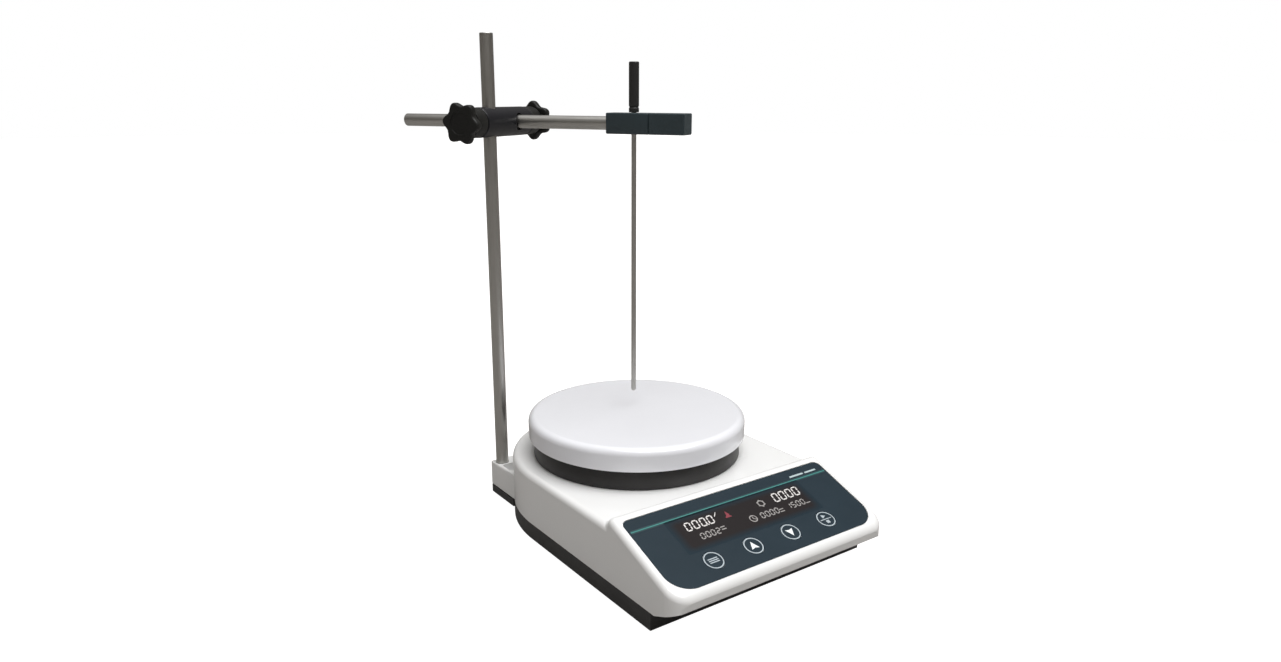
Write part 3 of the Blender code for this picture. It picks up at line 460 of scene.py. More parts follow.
def prism(name, points, low, high, material=WHITE, place=HOME):
    bm = bmesh.new()
    add_prism(bm, points, low, high)
    return new_object(name, bm, material, place)


def turned(name, profile, material, place=HOME, sides=96):
    bm = bmesh.new()
    add_turned(bm, profile, sides)
    return smooth(new_object(name, bm, material, place))


def rectangle(x, y):
    return [(x[0], y[0]), (x[1], y[0]), (x[1], y[1]), (x[0], y[1])]


def block(name, x, y, z, place=HOME):
    return prism(name, rectangle(x, y), *z, place=place)


def span(centre, half):
    return centre - half, centre + half


def arc(centre, radius, start, end, steps):
    """Points on an arc in a plane, angles in degrees."""
    angles = [math.radians(start + (end - start) * i / steps) for i in range(steps + 1)]
    return [(centre[0] + radius * math.cos(a), centre[1] + radius * math.sin(a)) for a in angles]


def circle(radius, steps=64, middle=(0.0, 0.0)):
    return arc(middle, radius, 0, 360, steps)[:-1]


def fillet(points, radius, steps=5, closed=False):
    """A profile with its inner corners rounded, or all of them when it closes on itself."""
    rounded = []
    count = len(points)
    for i, point in enumerate(points):
        corner = Vector(point[:2])
        size = point[2] if len(point) > 2 else radius
        if size <= 0 or (not closed and i in (0, count - 1)):
            rounded.append(tuple(corner))
            continue
        before = Vector(points[i - 1][:2]) - corner
        after = Vector(points[(i + 1) % count][:2]) - corner
        bend = math.pi - before.angle(after)
        cut_back = min(size * math.tan(bend / 2), 0.49 * before.length, 0.49 * after.length)
        start, end = corner + before.normalized() * cut_back, corner + after.normalized() * cut_back
        for k in range(steps + 1):
            t = k / steps
            point_on = start * (1 - t) ** 2 + corner * 2 * t * (1 - t) + end * t ** 2
            rounded.append(tuple(point_on))
    return rounded


def rounded_rectangle(x, y, radius, steps=6):
    return fillet(rectangle(x, y), radius, steps, closed=True)


def apply_modifiers(obj):
    bpy.context.view_layer.update()
    graph = bpy.context.evaluated_depsgraph_get()
    mesh = bpy.data.meshes.new_from_object(obj.evaluated_get(graph))
    obj.modifiers.clear()
    obj.data = mesh
    return obj


def combine(obj, operation, others):
    """Joins, cuts or intersects with other objects, which are used up. The first one's material stays."""
    material = obj.data.materials[0]
    for other in others:
        modifier = obj.modifiers.new(other.name, "BOOLEAN")
        modifier.operation = operation
        modifier.object = other
    apply_modifiers(obj)
    obj.data.materials.clear()
    obj.data.materials.append(material)
    for other in others:
        bpy.data.objects.remove(other, do_unlink=True)
    return obj


def cut(obj, *others):
    return combine(obj, "DIFFERENCE", others)


def join(obj, *others):
    return combine(obj, "UNION", others)


def bar(name, radius, start, end, axis="Z", middle=(0.0, 0.0), place=HOME, sides=64):
    """A round cutter along an axis, from start to end on it."""
    turns = {"X": turn(90, "Y"), "Y": turn(-90, "X"), "Z": Matrix.Identity(4)}
    places = {"X": (0, *middle), "Y": (middle[0], 0, middle[1]), "Z": (*middle, 0)}
    frame_there = place @ Matrix.Translation(places[axis]) @ turns[axis]
    return prism(name, circle(radius, sides), start, end, place=frame_there)


def smooth(obj, degrees=32):
    obj.data.shade_smooth()
    obj.data.set_sharp_from_angle(angle=math.radians(degrees))
    return obj


def shade_evenly(obj):
    obj.modifiers.new("shade", "WEIGHTED_NORMAL").keep_sharp = True
    return obj


def bevelled(obj, width, segments=3, degrees=40):
    """Rounds an object's sharp edges."""
    obj.data.shade_smooth()
    bevel = obj.modifiers.new("soften", "BEVEL")
    bevel.width = width
    bevel.segments = segments
    bevel.limit_method = "ANGLE"
    bevel.angle_limit = math.radians(degrees)
    bevel.use_clamp_overlap = True
    return obj


def soften(obj, width, segments=3, degrees=40):
    return shade_evenly(bevelled(obj, width, segments, degrees))


def clean(mesh):
    bm = bmesh.new()
    bm.from_mesh(mesh)
    bmesh.ops.remove_doubles(bm, verts=bm.verts, dist=0.000005)
    bmesh.ops.dissolve_limit(bm, angle_limit=0.01, verts=bm.verts, edges=bm.edges)
    bm.to_mesh(mesh)
    bm.free()


def stands(piece, body, slot, *nodes):
    """The piece moves with a body and stands for CAD nodes, which it hides. The slot is not used."""
    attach(piece, body)
    if nodes:
        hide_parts(*nodes)
    return piece


# ---- housing

PANEL_TILT = math.atan2(PANEL_UP.z, PANEL_UP.y)
PANEL_DOWN = Vector((-math.cos(PANEL_TILT), -math.sin(PANEL_TILT)))  # y and z, down the panel
NOSE_CENTRE = (
    Vector((PANEL_REAR_Y, PANEL_REAR_Z)) + PANEL_DOWN * PANEL_LENGTH
    - Vector((-math.sin(PANEL_TILT), math.cos(PANEL_TILT))) * NOSE_RADIUS
)
NOSE_Y = NOSE_CENTRE.x - NOSE_RADIUS


def panel_height(y):
    return PANEL_REAR_Z + (y - PANEL_REAR_Y) * math.tan(PANEL_TILT)


def rear_curve(inset, steps=26):
    """The half ellipse of the rear, right to left, cut off by the flat."""
    width, depth = HALF_WIDTH - inset, REAR_DEPTH - inset
    end = math.asin((REAR_FLAT_Y - inset - REAR_CENTRE_Y) / depth)
    angles = [end * i / steps for i in range(steps + 1)]
    right = [(width * math.cos(a), REAR_CENTRE_Y + depth * math.sin(a)) for a in angles]
    return right + [(-x, y) for x, y in reversed(right)]


def housing_plan(inset):
    radius, steps = NOSE_CORNER_RADIUS - inset, 16
    corner_x, corner_y = HALF_WIDTH - NOSE_CORNER_RADIUS, NOSE_Y + NOSE_CORNER_RADIUS
    left = arc((-corner_x, corner_y), radius, 180, 270, steps)
    right = arc((corner_x, corner_y), radius, 270, 360, steps)
    return rear_curve(inset) + left + right


def pan_plan(inset):
    width, front = HALF_WIDTH - inset, PAN_FRONT_Y + inset
    return rear_curve(inset) + [(-width, front), (width, front)]


def nose_arc(inset):
    return arc(NOSE_CENTRE, NOSE_RADIUS - inset, 90 + math.degrees(PANEL_TILT), 180, 10)


def outer_profile():
    """The housing seen from the side, y and z: top, step up to the bezel, panel, nose, undercut."""
    behind = REAR_FLAT_Y + 0.02
    top = [(behind, PARTING_Z), (behind, HOUSING_TOP_Z), (STEP_REAR_Y, HOUSING_TOP_Z)]
    front = [(LIP_Y, LIP_Z), (UNDERCUT_Y, PARTING_Z)]
    return top + [(y, panel_height(y)) for y in (STEP_FRONT_Y, NOSE_Y)] + [(NOSE_Y, NOSE_CENTRE.y)] + front


def cavity_profile(inset):
    behind, below = REAR_FLAT_Y + 0.02, -0.01
    top_z = HOUSING_TOP_Z - inset
    step_y = STEP_FRONT_Y - 0.3 * inset
    panel_z = panel_height(step_y) - inset / math.cos(PANEL_TILT)
    foot_y = PAN_FRONT_Y + inset
    top = [(behind, below), (behind, top_z), (STEP_REAR_Y - inset, top_z), (step_y, panel_z)]
    front = [(NOSE_Y + inset, 0.0225), (foot_y - 0.001, PARTING_Z + inset), (foot_y, below)]
    return top + nose_arc(inset) + front


# Turns an outline drawn in y and z so that its thickness lies along X.
STOOD_UP = Matrix(((0, 0, 1, 0), (1, 0, 0, 0), (0, 1, 0, 0), (0, 0, 0, 1)))


def housing_solid(name, inset, profile):
    """The plan extruded upwards, met with the side profile extruded across."""
    plan = prism(name, housing_plan(inset), -0.009, 0.06)
    side = prism(f"{name}_side", profile, -0.1, 0.1, place=HOME @ STOOD_UP)
    return combine(plan, "INTERSECT", [side])


def round_top_edges(mesh):
    """Rounds the sharp edges that bound the housing's top, its step and its panel."""
    clean(mesh)
    bm = bmesh.new()
    bm.from_mesh(mesh)
    chosen = []
    for edge in bm.edges:
        upper = all(vert.co.z > LIP_Z + 0.0004 for vert in edge.verts)
        rise = abs(edge.verts[0].co.z - edge.verts[1].co.z)
        sharp = edge.calc_face_angle(0) > math.radians(30)
        if upper and sharp and rise < 0.9 * edge.calc_length():
            chosen.append(edge)
    bmesh.ops.bevel(
        bm, geom=chosen, offset=EDGE_ROUNDING, segments=7, profile=0.5, affect="EDGES", clamp_overlap=False,
    )
    bm.to_mesh(mesh)
    bm.free()


def lug_block(name, low, high, front=0.04, margin=0.0, rounding=0.0015):
    left, right, rear, front = LUG_X[0] - margin, LUG_X[1] + margin, LUG_REAR_Y + margin, front - margin
    corners = [(left, front, 0), (right, front, 0), (right, rear), (left, rear)]
    return prism(name, fillet(corners, rounding, 4, closed=True), low, high)


def overlay_outline(margin, steps=10):
    """The overlay seen square on: small round corners at the rear, large ones at the front."""
    half_w, half_l = PANEL_HALF_WIDTH + margin, PANEL_LENGTH / 2 + margin
    small, large = REAR_CORNER_RADIUS + margin, FRONT_CORNER_RADIUS + margin
    outline = []
    for start, side, end in ((0, 1, 1), (90, -1, 1), (180, -1, -1), (270, 1, -1)):
        radius, count = (small, steps) if end > 0 else (large, 2 * steps)
        outline += arc((side * (half_w - radius), end * (half_l - radius)), radius, start, start + 90, count)
    return outline


def make_housing():
    housing = housing_solid("housing_shell", 0, outer_profile())
    round_top_edges(housing.data)
    lug = soften(lug_block("lug", LUG_FOOT_Z + GAP, LUG_TOP_Z), 0.0008, 3, 60)
    join(housing, apply_modifiers(lug))
    cut(housing, housing_solid("cavity", HOUSING_WALL, cavity_profile(HOUSING_WALL)))
    through = (0.06, 0.09)  # y, from inside to outside the rear wall
    pocket = rounded_rectangle((-0.061, -0.0515), (0.057, 0.0675), 0.0015)  # in the lug's top, beside the rod
    openings = [
        bar("plate_opening", 0.046, 0.038, 0.05, sides=96),
        prism("lug_pocket", pocket, 0.018, 0.03),
        bar("rod_hole", ROD_RADIUS + GAP, 0.01, 0.03, middle=(ROD_X, ROD_Y)),
        block("inlet_opening", span(INLET_X, 0.0138), through, span(SOCKETS_Z, 0.01)),
        block("switch_opening", span(SWITCH_X, 0.0063), through, span(SOCKETS_Z, 0.0093)),
        bar("socket_opening", 0.0039, *through, axis="Y", middle=(SOCKET_X, SOCKETS_Z)),
        prism("overlay_recess", overlay_outline(GAP), -0.0012, 0.006, place=PANEL),
        block("display_opening", (-0.045, 0.047), (-0.0055, 0.017), (-0.008, 0.002), place=PANEL),
    ]
    cut(housing, *openings, *key_holes("hole", KEY_STEM_RADIUS + 0.0004, -0.008, 0.002))
    clean(housing.data)
    shade_evenly(smooth(housing, 35))
    stands(housing, "base", "housing_white", "top_housing")


def make_pan():
    pan = prism("base_pan", pan_plan(0), FOOT_HEIGHT, PARTING_Z - GAP, CHARCOAL)
    cut(pan, prism("pan_hollow", pan_plan(PAN_WALL), FOOT_HEIGHT + PAN_WALL, 0.02))
    join(pan, lug_block("lug_foot", FOOT_HEIGHT, LUG_FOOT_Z, front=0.048))
    holes = [lug_block("lug_clearance", LUG_FOOT_Z, 0.02, margin=GAP)]
    for i, place in enumerate(SCREW_PLACES):
        holes.append(bar(f"sink_{i}", 2 * SCREW_RADIUS, 0, 0.0044, middle=place, sides=48))
    holes.append(bar("rod_screw_sink", 0.0048, 0, 0.0055, middle=(ROD_X, ROD_Y), sides=48))
    count, spacing, half_width, ends = 8, 0.007, 0.0015, (-0.02, 0.016)
    for i in range(count):
        x = span((i - (count - 1) / 2) * spacing, half_width)
        holes.append(prism(f"vent_{i}", rounded_rectangle(x, ends, 0.0014), 0, 0.008))
    cut(pan, *holes)
    clean(pan.data)
    soften(smooth(pan), 0.0005, 2, 50)
    stands(pan, "base", "pan_charcoal", "bottom_pan")


def make_feet():
    stem, barb, pad = 0.002, 0.0026, 0.0075
    profile = [
        (0, 0.0065), (0.0012, 0.0065), (barb, 0.0052), (stem, 0.0046), (stem, 0.0022),
        (pad, 0.0022, 0.0006), (pad, 0, 0.0008), (0.0045, 0), (0.0042, 0.0004), (0, 0.0004),
    ]
    for i, (x, y) in enumerate(FOOT_PLACES, 1):
        foot = turned(f"foot_{i}", fillet(profile, 0.0001, 3), RUBBER, HOME @ shift(x, y), 64)
        stands(foot, "base", "rubber", f"rubber_foot_{i}")


def make_screw(name, node, x, y, thread, head, underside, head_end=0.0032, tip=0.02):
    """A pan head, facing down, with a cross recess."""
    profile = [
        (0, tip), (thread - 0.0004, tip), (thread, tip - 0.0005), (thread, underside),
        (head, underside), (head, head_end + 0.0008), (head * 0.8, head_end + 0.0002), (0, head_end),
    ]
    place = HOME @ shift(x, y)
    screw = turned(name, fillet(profile, 0.0004, 3), SCREW_STEEL, place, 48)
    slot, width, deep = span(0, 0.6 * head), span(0, 0.11 * head), (head_end - 0.001, head_end + 0.0014)
    cut(
        screw,
        block(f"{name}_slot_x", slot, width, deep, place),
        block(f"{name}_slot_y", width, slot, deep, place),
    )
    stands(smooth(screw), "base", "steel", node)


def make_screws():
    for i, (x, y) in enumerate(SCREW_PLACES, 1):
        make_screw(f"pan_screw_{i}", f"base_screw_{i}", x, y, SCREW_RADIUS, 0.003, 0.0057)
    make_screw("rod_foot_screw", "rod_fixing_screw", ROD_X, ROD_Y, ROD_SCREW_RADIUS, 0.0045, 0.0052)


# ---- plate and ring

def make_plate():
    """The hot plate: flat on top, with a rounded shoulder and a small radius at its foot."""
    rim, low, rounding, underside = PLATE_RADIUS, PLATE_LOW_Z, 0.0045, 0.0645
    shoulder = arc((rim - rounding, PLATE_TOP_Z - rounding), rounding, 90, 0, 12)
    foot = [(rim, low + 0.0006), (rim - 0.0002, low + 0.0002), (rim - 0.0006, low)]
    skirt = foot + [(rim - rounding, low), (rim - rounding, underside)]
    top = [(0, PLATE_TOP_Z), (0.03, PLATE_TOP_Z), (rim - rounding - 0.004, PLATE_TOP_Z)]
    plate = turned("plate_glazed", top + shoulder + skirt + [(0, underside)], GLAZE, HOME, 160)
    stands(shade_evenly(plate), "base", "plate_white", "hot_plate")


def make_ring():
    outer, inner, shelf_z, lip_inner = 0.0646, 0.0575, 0.047, 0.0425
    base_z = HOUSING_TOP_Z + GAP
    profile = [
        (inner, RING_TOP_Z), (outer - 0.0012, RING_TOP_Z), (outer, base_z + GAP), (outer - GAP, base_z),
        (0.045, base_z), (0.045, RING_LOW_Z), (lip_inner, RING_LOW_Z), (lip_inner, shelf_z), (inner, shelf_z),
    ]
    ring = turned("ring_dark", fillet(profile, 0.0004, 3, closed=True), RING, HOME, 128)
    stands(ring, "base", "ring_dark", "insulating_ring")


# ---- control panel

def on_panel(u, v):
    """A panel place in millimetres, u right of the middle and v below the film's upper edge."""
    return u / 1000, PANEL_LENGTH / 2 - v / 1000


def key_holes(kind, radius, low, high):
    return [
        bar(f"{name}_{kind}", radius, low, high, middle=on_panel(u, KEY_V), place=PANEL)
        for name, u in KEY_U.items()
    ]


def make_film_sheet():
    film = prism("overlay_film", overlay_outline(0), OVERLAY_TOP - 0.0006, OVERLAY_TOP, FILM, PANEL)
    cut(film, *key_holes("window", KEY_RADIUS + 0.00012, -0.004, 0.004))
    soften(smooth(film), 0.00012, 2, 60)
    stands(film, "base", "overlay_slate", "panel_overlay")


def print_piece(name, polygons, material, layer=1, body="base", slot="overlay_slate", place=PANEL, rings=()):
    """Flat printed shapes, one thin layer over the film. A ring is a middle and two radii."""
    low = OVERLAY_TOP + 0.000005
    high = OVERLAY_TOP + PRINT_STEP * layer
    bm = bmesh.new()
    for points in polygons:
        add_prism(bm, points, low, high)
    for middle, inner, outer in rings:
        add_turned(bm, [(inner, high), (outer, high), (outer, low), (inner, low)], 64, middle)
    return stands(new_object(name, bm, material, place), body, slot)


SEGMENTS = {  # which of the seven bars each digit lights: top, two upper, middle, two lower, bottom
    "0": "abcdef", "1": "bc", "2": "abged", "5": "afgcd",
}


def digit(character, left, top, width, height, bar_width, slant=0.13, bar_gap=0.12):
    """The lit bars of one slanted seven-segment digit, as polygons in panel millimetres."""
    half = bar_width / 2
    x0, x1 = left + half, left + width - half
    y0, y1, y2 = top + half, top + height / 2, top + height - half
    lines = {
        "a": (x0, y0, x1, y0), "b": (x1, y0, x1, y1), "c": (x1, y1, x1, y2), "d": (x0, y2, x1, y2),
        "e": (x0, y1, x0, y2), "f": (x0, y0, x0, y1), "g": (x0, y1, x1, y1),
    }
    shapes = []
    for name in SEGMENTS[character]:
        start, end = Vector(lines[name][:2]), Vector(lines[name][2:])
        along = (end - start).normalized()
        across = Vector((-along.y, along.x)) * half
        start, end = start + along * bar_gap, end - along * bar_gap
        hexagon = [
            start, start + along * half + across, end - along * half + across,
            end, end - along * half - across, start + along * half - across,
        ]
        shapes.append([on_panel(p.x + slant * (top + height - p.y), p.y) for p in hexagon])
    return shapes


def number(text, left, top, pitch, width, height, bar_width):
    """A row of digits. A full stop lights a small dot after the digit before it."""
    shapes, column = [], 0
    for character in text:
        x = left + pitch * column
        if character == ".":
            dot_x, dot_y = x - 0.25 * (pitch - width) - 0.5 * bar_width, top + height - 0.6 * bar_width
            corners = rectangle(span(dot_x, bar_width / 2), span(dot_y, bar_width / 2))
            shapes.append(panel_polygon(*corners))
            continue
        shapes += digit(character, x, top, width, height, bar_width)
        column += 1
    return shapes


def panel_polygon(*points):
    """A polygon in panel millimetres, wound to face out."""
    return [on_panel(u, v) for u, v in reversed(points)]


def stroke(left, right, top, height, slant):
    bottom = top + height
    return panel_polygon((left, bottom), (right, bottom), (right + slant, top), (left + slant, top))


def unit_bars(left, *heights):
    """Plain bars in the place of a unit."""
    return [stroke(left, left + 3.0, v, 0.6, 0.1) for v in heights]


def polar(middle, angle, along, across):
    """A panel place, that far along and across a ray from the middle."""
    u = middle[0] + along * math.cos(angle) - across * math.sin(angle)
    return on_panel(u, middle[1] - along * math.sin(angle) - across * math.cos(angle))


def make_print():
    u_left, u_right, line_v = -70.2, 70.6, 8.4
    line_place = PANEL @ shift(0, on_panel(0, line_v)[1])
    line = rectangle((u_left / 1000, u_right / 1000), span(0, 0.0013))
    print_piece("accent_line", [line], ACCENT, place=line_place)
    window_place = PANEL @ shift(*on_panel(-1.5, 20.9))
    window = rounded_rectangle(span(0, WINDOW_HALVES[0]), span(0, WINDOW_HALVES[1]), 0.001)
    print_piece("display_window", [window], WINDOW, place=window_place, slot="display_dark")

    temperature = number("000.0", -40.8, 13.1, pitch=5.0, width=3.9, height=6.1, bar_width=0.78)
    temperature.append(stroke(-20.1, -19.5, 12.6, 2.6, 2.3))
    speed = number("0000", 21.9, 12.7, pitch=5.15, width=4.1, height=6.7, bar_width=0.80)
    small = unit_bars(-22.0, 22.7, 24.4) + unit_bars(19.4, 24.3, 26.0) + unit_bars(39.2, 26.0)
    for text, left in (("0002", -36.6), ("0000", 5.6), ("1500", 25.4)):
        small += number(text, left, 22.4, pitch=3.5, width=2.9, height=4.4, bar_width=0.7)
    flame = panel_polygon(
        (-14.2, 18.6), (-10.2, 18.6), (-10.2, 17.9), (-11.0, 17.5), (-10.7, 16.4), (-11.4, 15.2),
        (-11.9, 13.9), (-12.5, 15.4), (-12.9, 16.9), (-13.5, 17.5), (-14.2, 17.9),
    )
    gear_middle, tooth = (12.7, 16.6), ((2.1, -0.45), (2.75, -0.35), (2.75, 0.35), (2.1, 0.45))
    gear = [[polar(gear_middle, math.radians(60 * k + 30), *corner) for corner in tooth] for k in range(6)]
    short_hand = panel_polygon((0.3, 24.9), (2.0, 25.8), (2.2, 25.4), (0.5, 24.5))
    hands = [stroke(0.25, 0.75, 22.9, 2.0, 0.0), short_hand]
    for name, shapes, ink, rings in (
        ("readout_temperature", temperature, DIGITS, ()),
        ("readout_speed", speed, DIGITS, ()),
        ("readout_small", small, SMALL_DIGITS, ()),
        ("icon_heat", [flame], HEAT_ICON, ()),
        ("icon_speed", gear, SMALL_DIGITS, [(on_panel(*gear_middle), 0.0016, 0.0023)]),
        ("icon_timer", hands, SMALL_DIGITS, [(on_panel(0.5, 24.6), 0.0019, 0.0025)]),
    ):
        print_piece(name, shapes, ink, 2, slot="display_dark", rings=rings)

    strokes = [stroke(left, right, 4.9, 1.2, 0.3) for left, right in ((44.6, 55.2), (56.7, 65.6))]
    print_piece("mark_strokes", strokes, MARK_PRINT)


def key_symbols():
    """Polygons of each key's symbol, in millimetres right of and below the key's middle."""
    up = [(0, -2.9), (2.5, 2.2), (0, 1.5), (-2.5, 2.2)]
    down = [(-x, -y) for x, y in up]
    bars = [rectangle(span(0, 3.1), span(v, 0.3)) for v in (-1.2, 0.0, 1.2)]
    line, stop = rectangle(span(0, 4.0), span(0, 0.25)), rectangle(span(0, 1.1), (1.0, 3.1))
    play = [(-1.3, -3.5), (1.5, -2.2), (-1.3, -0.9)]
    return (
        ("menu", bars, KEY_PRINT), ("up", [up], ARROW_PRINT), ("down", [down], ARROW_PRINT),
        ("run", [line, play, stop], KEY_PRINT),
    )


def make_keys():
    """Each key is a cap flush with the film on a stem, with its ring and symbol printed on top."""
    underside, stem, stem_end = OVERLAY_TOP - 0.00035, KEY_STEM_RADIUS, -0.007
    cap = [
        (0, OVERLAY_TOP), (KEY_RADIUS - 0.0002, OVERLAY_TOP), (KEY_RADIUS, OVERLAY_TOP - 0.00015),
        (KEY_RADIUS, underside), (stem, underside), (stem, stem_end), (0, stem_end),
    ]
    for name, polygons, ink in key_symbols():
        u, body = KEY_U[name], f"{name}_key"
        place = PANEL @ shift(*on_panel(u, KEY_V))
        stands(turned(f"{name}_cap", cap, FILM, place, 64), body, "overlay_slate", body)
        symbol = [[(x / 1000, -y / 1000) for x, y in points] for points in polygons]
        print_piece(f"{name}_symbol", symbol, ink, body=body, place=place)
        print_piece(f"{name}_ring", [], KEY_PRINT, body=body, place=place, rings=[((0, 0), 0.0049, 0.00555)])


# ---- rear sockets

# Turns an outline seen from behind (X left, Y up) so that its thickness runs along the design's +Y.
STOOD_REAR = Matrix(((-1, 0, 0, 0), (0, 0, 1, 0), (0, 1, 0, 0), (0, 0, 0, 1)))


def flanged_shell(name, node, place, shell, start, flange, flange_height, rounding, mouth, mouth_start):
    """A shell pushed in from behind: its outline, its flange on the rear wall, and its mouth."""
    face = REAR_FLAT_Y
    body = prism(f"{name}_shell", shell, start, face + 0.001, SWITCH_BLACK, place)
    rim = prism(f"{name}_flange", flange, face + GAP, face + flange_height, SWITCH_BLACK, place)
    join(body, soften(rim, rounding))
    cut(body, prism(f"{name}_mouth", mouth, mouth_start, 0.09, SWITCH_BLACK, place))
    stands(smooth(body), "base", "knob_black", node)


def make_inlet():
    place = HOME @ shift(INLET_X, 0, SOCKETS_Z) @ STOOD_REAR
    shell = rounded_rectangle(span(0, 0.0135), span(0, 0.0097), 0.002)
    flange = rounded_rectangle((-0.0155, 0.015), span(0, 0.012), 0.002)
    wide, narrow, high, low = 0.0115, 0.0083, 0.0077, 0.0045
    mouth = [(wide, -high), (wide, low), (narrow, high), (-narrow, high), (-wide, low), (-wide, -high)]
    mouth = fillet(mouth, 0.0008, 4, closed=True)
    flanged_shell("inlet", "mains_inlet", place, shell, 0.054, flange, 0.0023, 0.0005, mouth, 0.06)
    bm = bmesh.new()
    for dx, dz in ((0.007, -0.002), (0, 0.003), (-0.007, -0.002)):
        outline = rounded_rectangle(span(dx, 0.001), span(dz, 0.002), 0.0004, 3)
        add_prism(bm, outline, 0.058, 0.0703)
    stands(soften(new_object("inlet_pins", bm, PIN_METAL, place), 0.0003), "base", "steel")


def make_switch():
    place = HOME @ shift(SWITCH_X, 0, SOCKETS_Z) @ STOOD_REAR
    shell = rounded_rectangle(span(0, 0.006), span(0, 0.009), 0.001)
    flange = rounded_rectangle(span(0, 0.0075), span(0, 0.011), 0.0015)
    mouth = rounded_rectangle(span(0, 0.0048), span(0, 0.0078), 0.0005)
    flanged_shell("switch", "switch_frame", place, shell, 0.062, flange, 0.0018, 0.0004, mouth, 0.066)
    side = [
        (0.0042, -0.0069), (0.0024, 0), (0.0042, 0.0069), (-0.0015, 0.0062), (-0.0055, 0), (-0.0015, -0.0062),
    ]
    rocker_place = HOME @ shift(SWITCH_X, REAR_FLAT_Y - 0.0015, SOCKETS_Z) @ turn(-8, "X")
    outline = fillet(side, 0.0005, 4, closed=True)
    rocker = prism("rocker_key", outline, -0.0044, 0.0044, SWITCH_BLACK, rocker_place @ STOOD_UP)
    stands(soften(rocker, 0.0003, 2, 50), "power_rocker", "knob_black", "power_rocker")
    # The two marks lie on the sloping halves of the vee: a line above, a ring below.
    slope, height = math.atan2(0.0018, 0.0069), 0.00005
    for name, way in (("rocker_mark_on", 1), ("rocker_mark_off", -1)):
        bm = bmesh.new()
        if way > 0:
            add_prism(bm, rectangle(span(0, 0.0003), span(0, 0.0013)), 0, height)
        else:
            add_turned(bm, [(0.0009, height), (0.0014, height), (0.0014, 0), (0.0009, 0)], 40)
        there = rocker_place @ shift(0, 0.00335, way * 0.0036) @ Matrix.Rotation(-way * slope, 4, "X")
        stands(new_object(name, bm, ARROW_PRINT, there @ STOOD_REAR), "power_rocker", "knob_black")


def make_socket():
    bore, tube, collar = 0.0023, 0.0036, 0.005
    profile = [
        (bore, 0.002, 0.0003), (collar, 0.002, 0.0005), (collar, GAP, 0), (tube, GAP, 0),
        (tube, -0.012), (0, -0.012), (0, -0.01), (bore, -0.01, 0),
    ]
    place = HOME @ shift(SOCKET_X, REAR_FLAT_Y, SOCKETS_Z) @ turn(-90, "X")
    rounded = fillet(profile[:4], 0.0003, 3) + [p[:2] for p in profile[4:]]
    stands(turned("socket_tube", rounded, BRASS, place, 64), "base", "brass", "probe_socket")


# ---- rod, boss head, knobs, arm, probe

def rod_profile(radius, low, high, chamfer):
    return [
        (0, high), (radius - chamfer, high, chamfer), (radius, high - chamfer, chamfer),
        (radius, low + chamfer, chamfer), (radius - chamfer, low, chamfer), (0, low),
    ]


def make_rod():
    low, high = (corner.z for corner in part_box("support_rod"))
    bore, bore_end = ROD_SCREW_RADIUS + GAP, 0.021
    profile = fillet(rod_profile(ROD_RADIUS, low, high, 0.00025), 0.0003, 3)[:-1]
    profile += [(bore, low), (bore, bore_end), (0, bore_end)]
    stands(turned("rod_steel", profile, STEEL, ROD, 64), "support_rod", "steel", "support_rod")


def make_boss():
    place = BOSS @ turn(-90, "X")  # Z along the boss
    ends = [(0, BOSS_FRONT), (BOSS_RADIUS, BOSS_FRONT), (BOSS_RADIUS, BOSS_REAR), (0, BOSS_REAR)]
    profile = fillet(ends, 0.0009, 4)
    boss = turned("boss_bar", profile, BOSS_BLACK, place, 96)
    arm_hole = ROD_RADIUS + ARM_HOLE_CLEARANCE
    cut(
        boss,
        bar("rod_way", ROD_RADIUS + ROD_FIT, -0.012, 0.012, place=BOSS),
        bar("arm_way", arm_hole, -0.012, 0.012, axis="X", middle=(ARM_OFFSET, 0), place=BOSS),
        bar("rear_way", STUD_RADIUS + STUD_FIT, BOSS_REAR - 0.002, 0, axis="Y", place=BOSS),
        bar("front_way", STUD_RADIUS + STUD_FIT, ARM_OFFSET, BOSS_FRONT + 0.002, axis="Y", place=BOSS),
    )
    clean(boss.data)
    soften(smooth(boss, 40), 0.0003, 2, 50)
    stands(boss, "boss_head", "boss_black", "boss_head")


def star_outline(phase, steps=16):
    """A star knob's outline: round lobes with hollows as wide as they are."""
    points = []
    for i in range(KNOB_LOBES * steps):
        angle = 2 * math.pi * i / (KNOB_LOBES * steps)
        hollow = (1 - math.cos(KNOB_LOBES * angle)) / 2
        radius = KNOB_RADIUS - (KNOB_RADIUS - KNOB_HOLLOW_RADIUS) * hollow
        points.append((radius * math.cos(angle + phase), radius * math.sin(angle + phase)))
    return points


def threaded_stud(start, sides=48, steps_per_turn=8):
    bm = bmesh.new()
    low = start + THREAD_CHAMFER
    count = round((STUD_END - low) / THREAD_PITCH * steps_per_turn)
    rings = []
    for z in [start] + [low + (STUD_END - low) * k / count for k in range(count + 1)]:
        ring = []
        for i in range(sides):
            wave = abs(((z / THREAD_PITCH - i / sides) % 1.0) * 2 - 1)
            radius = STUD_RADIUS - THREAD_DEPTH * (1 - wave) if rings else STUD_TIP_RADIUS
            angle = 2 * math.pi * i / sides
            ring.append(bm.verts.new((radius * math.cos(angle), radius * math.sin(angle), z)))
        rings.append(ring)
    for lower, upper in zip(rings, rings[1:]):
        add_band(bm, lower, upper)
    bm.faces.new(rings[0][::-1])
    bm.faces.new(rings[-1])
    return bm


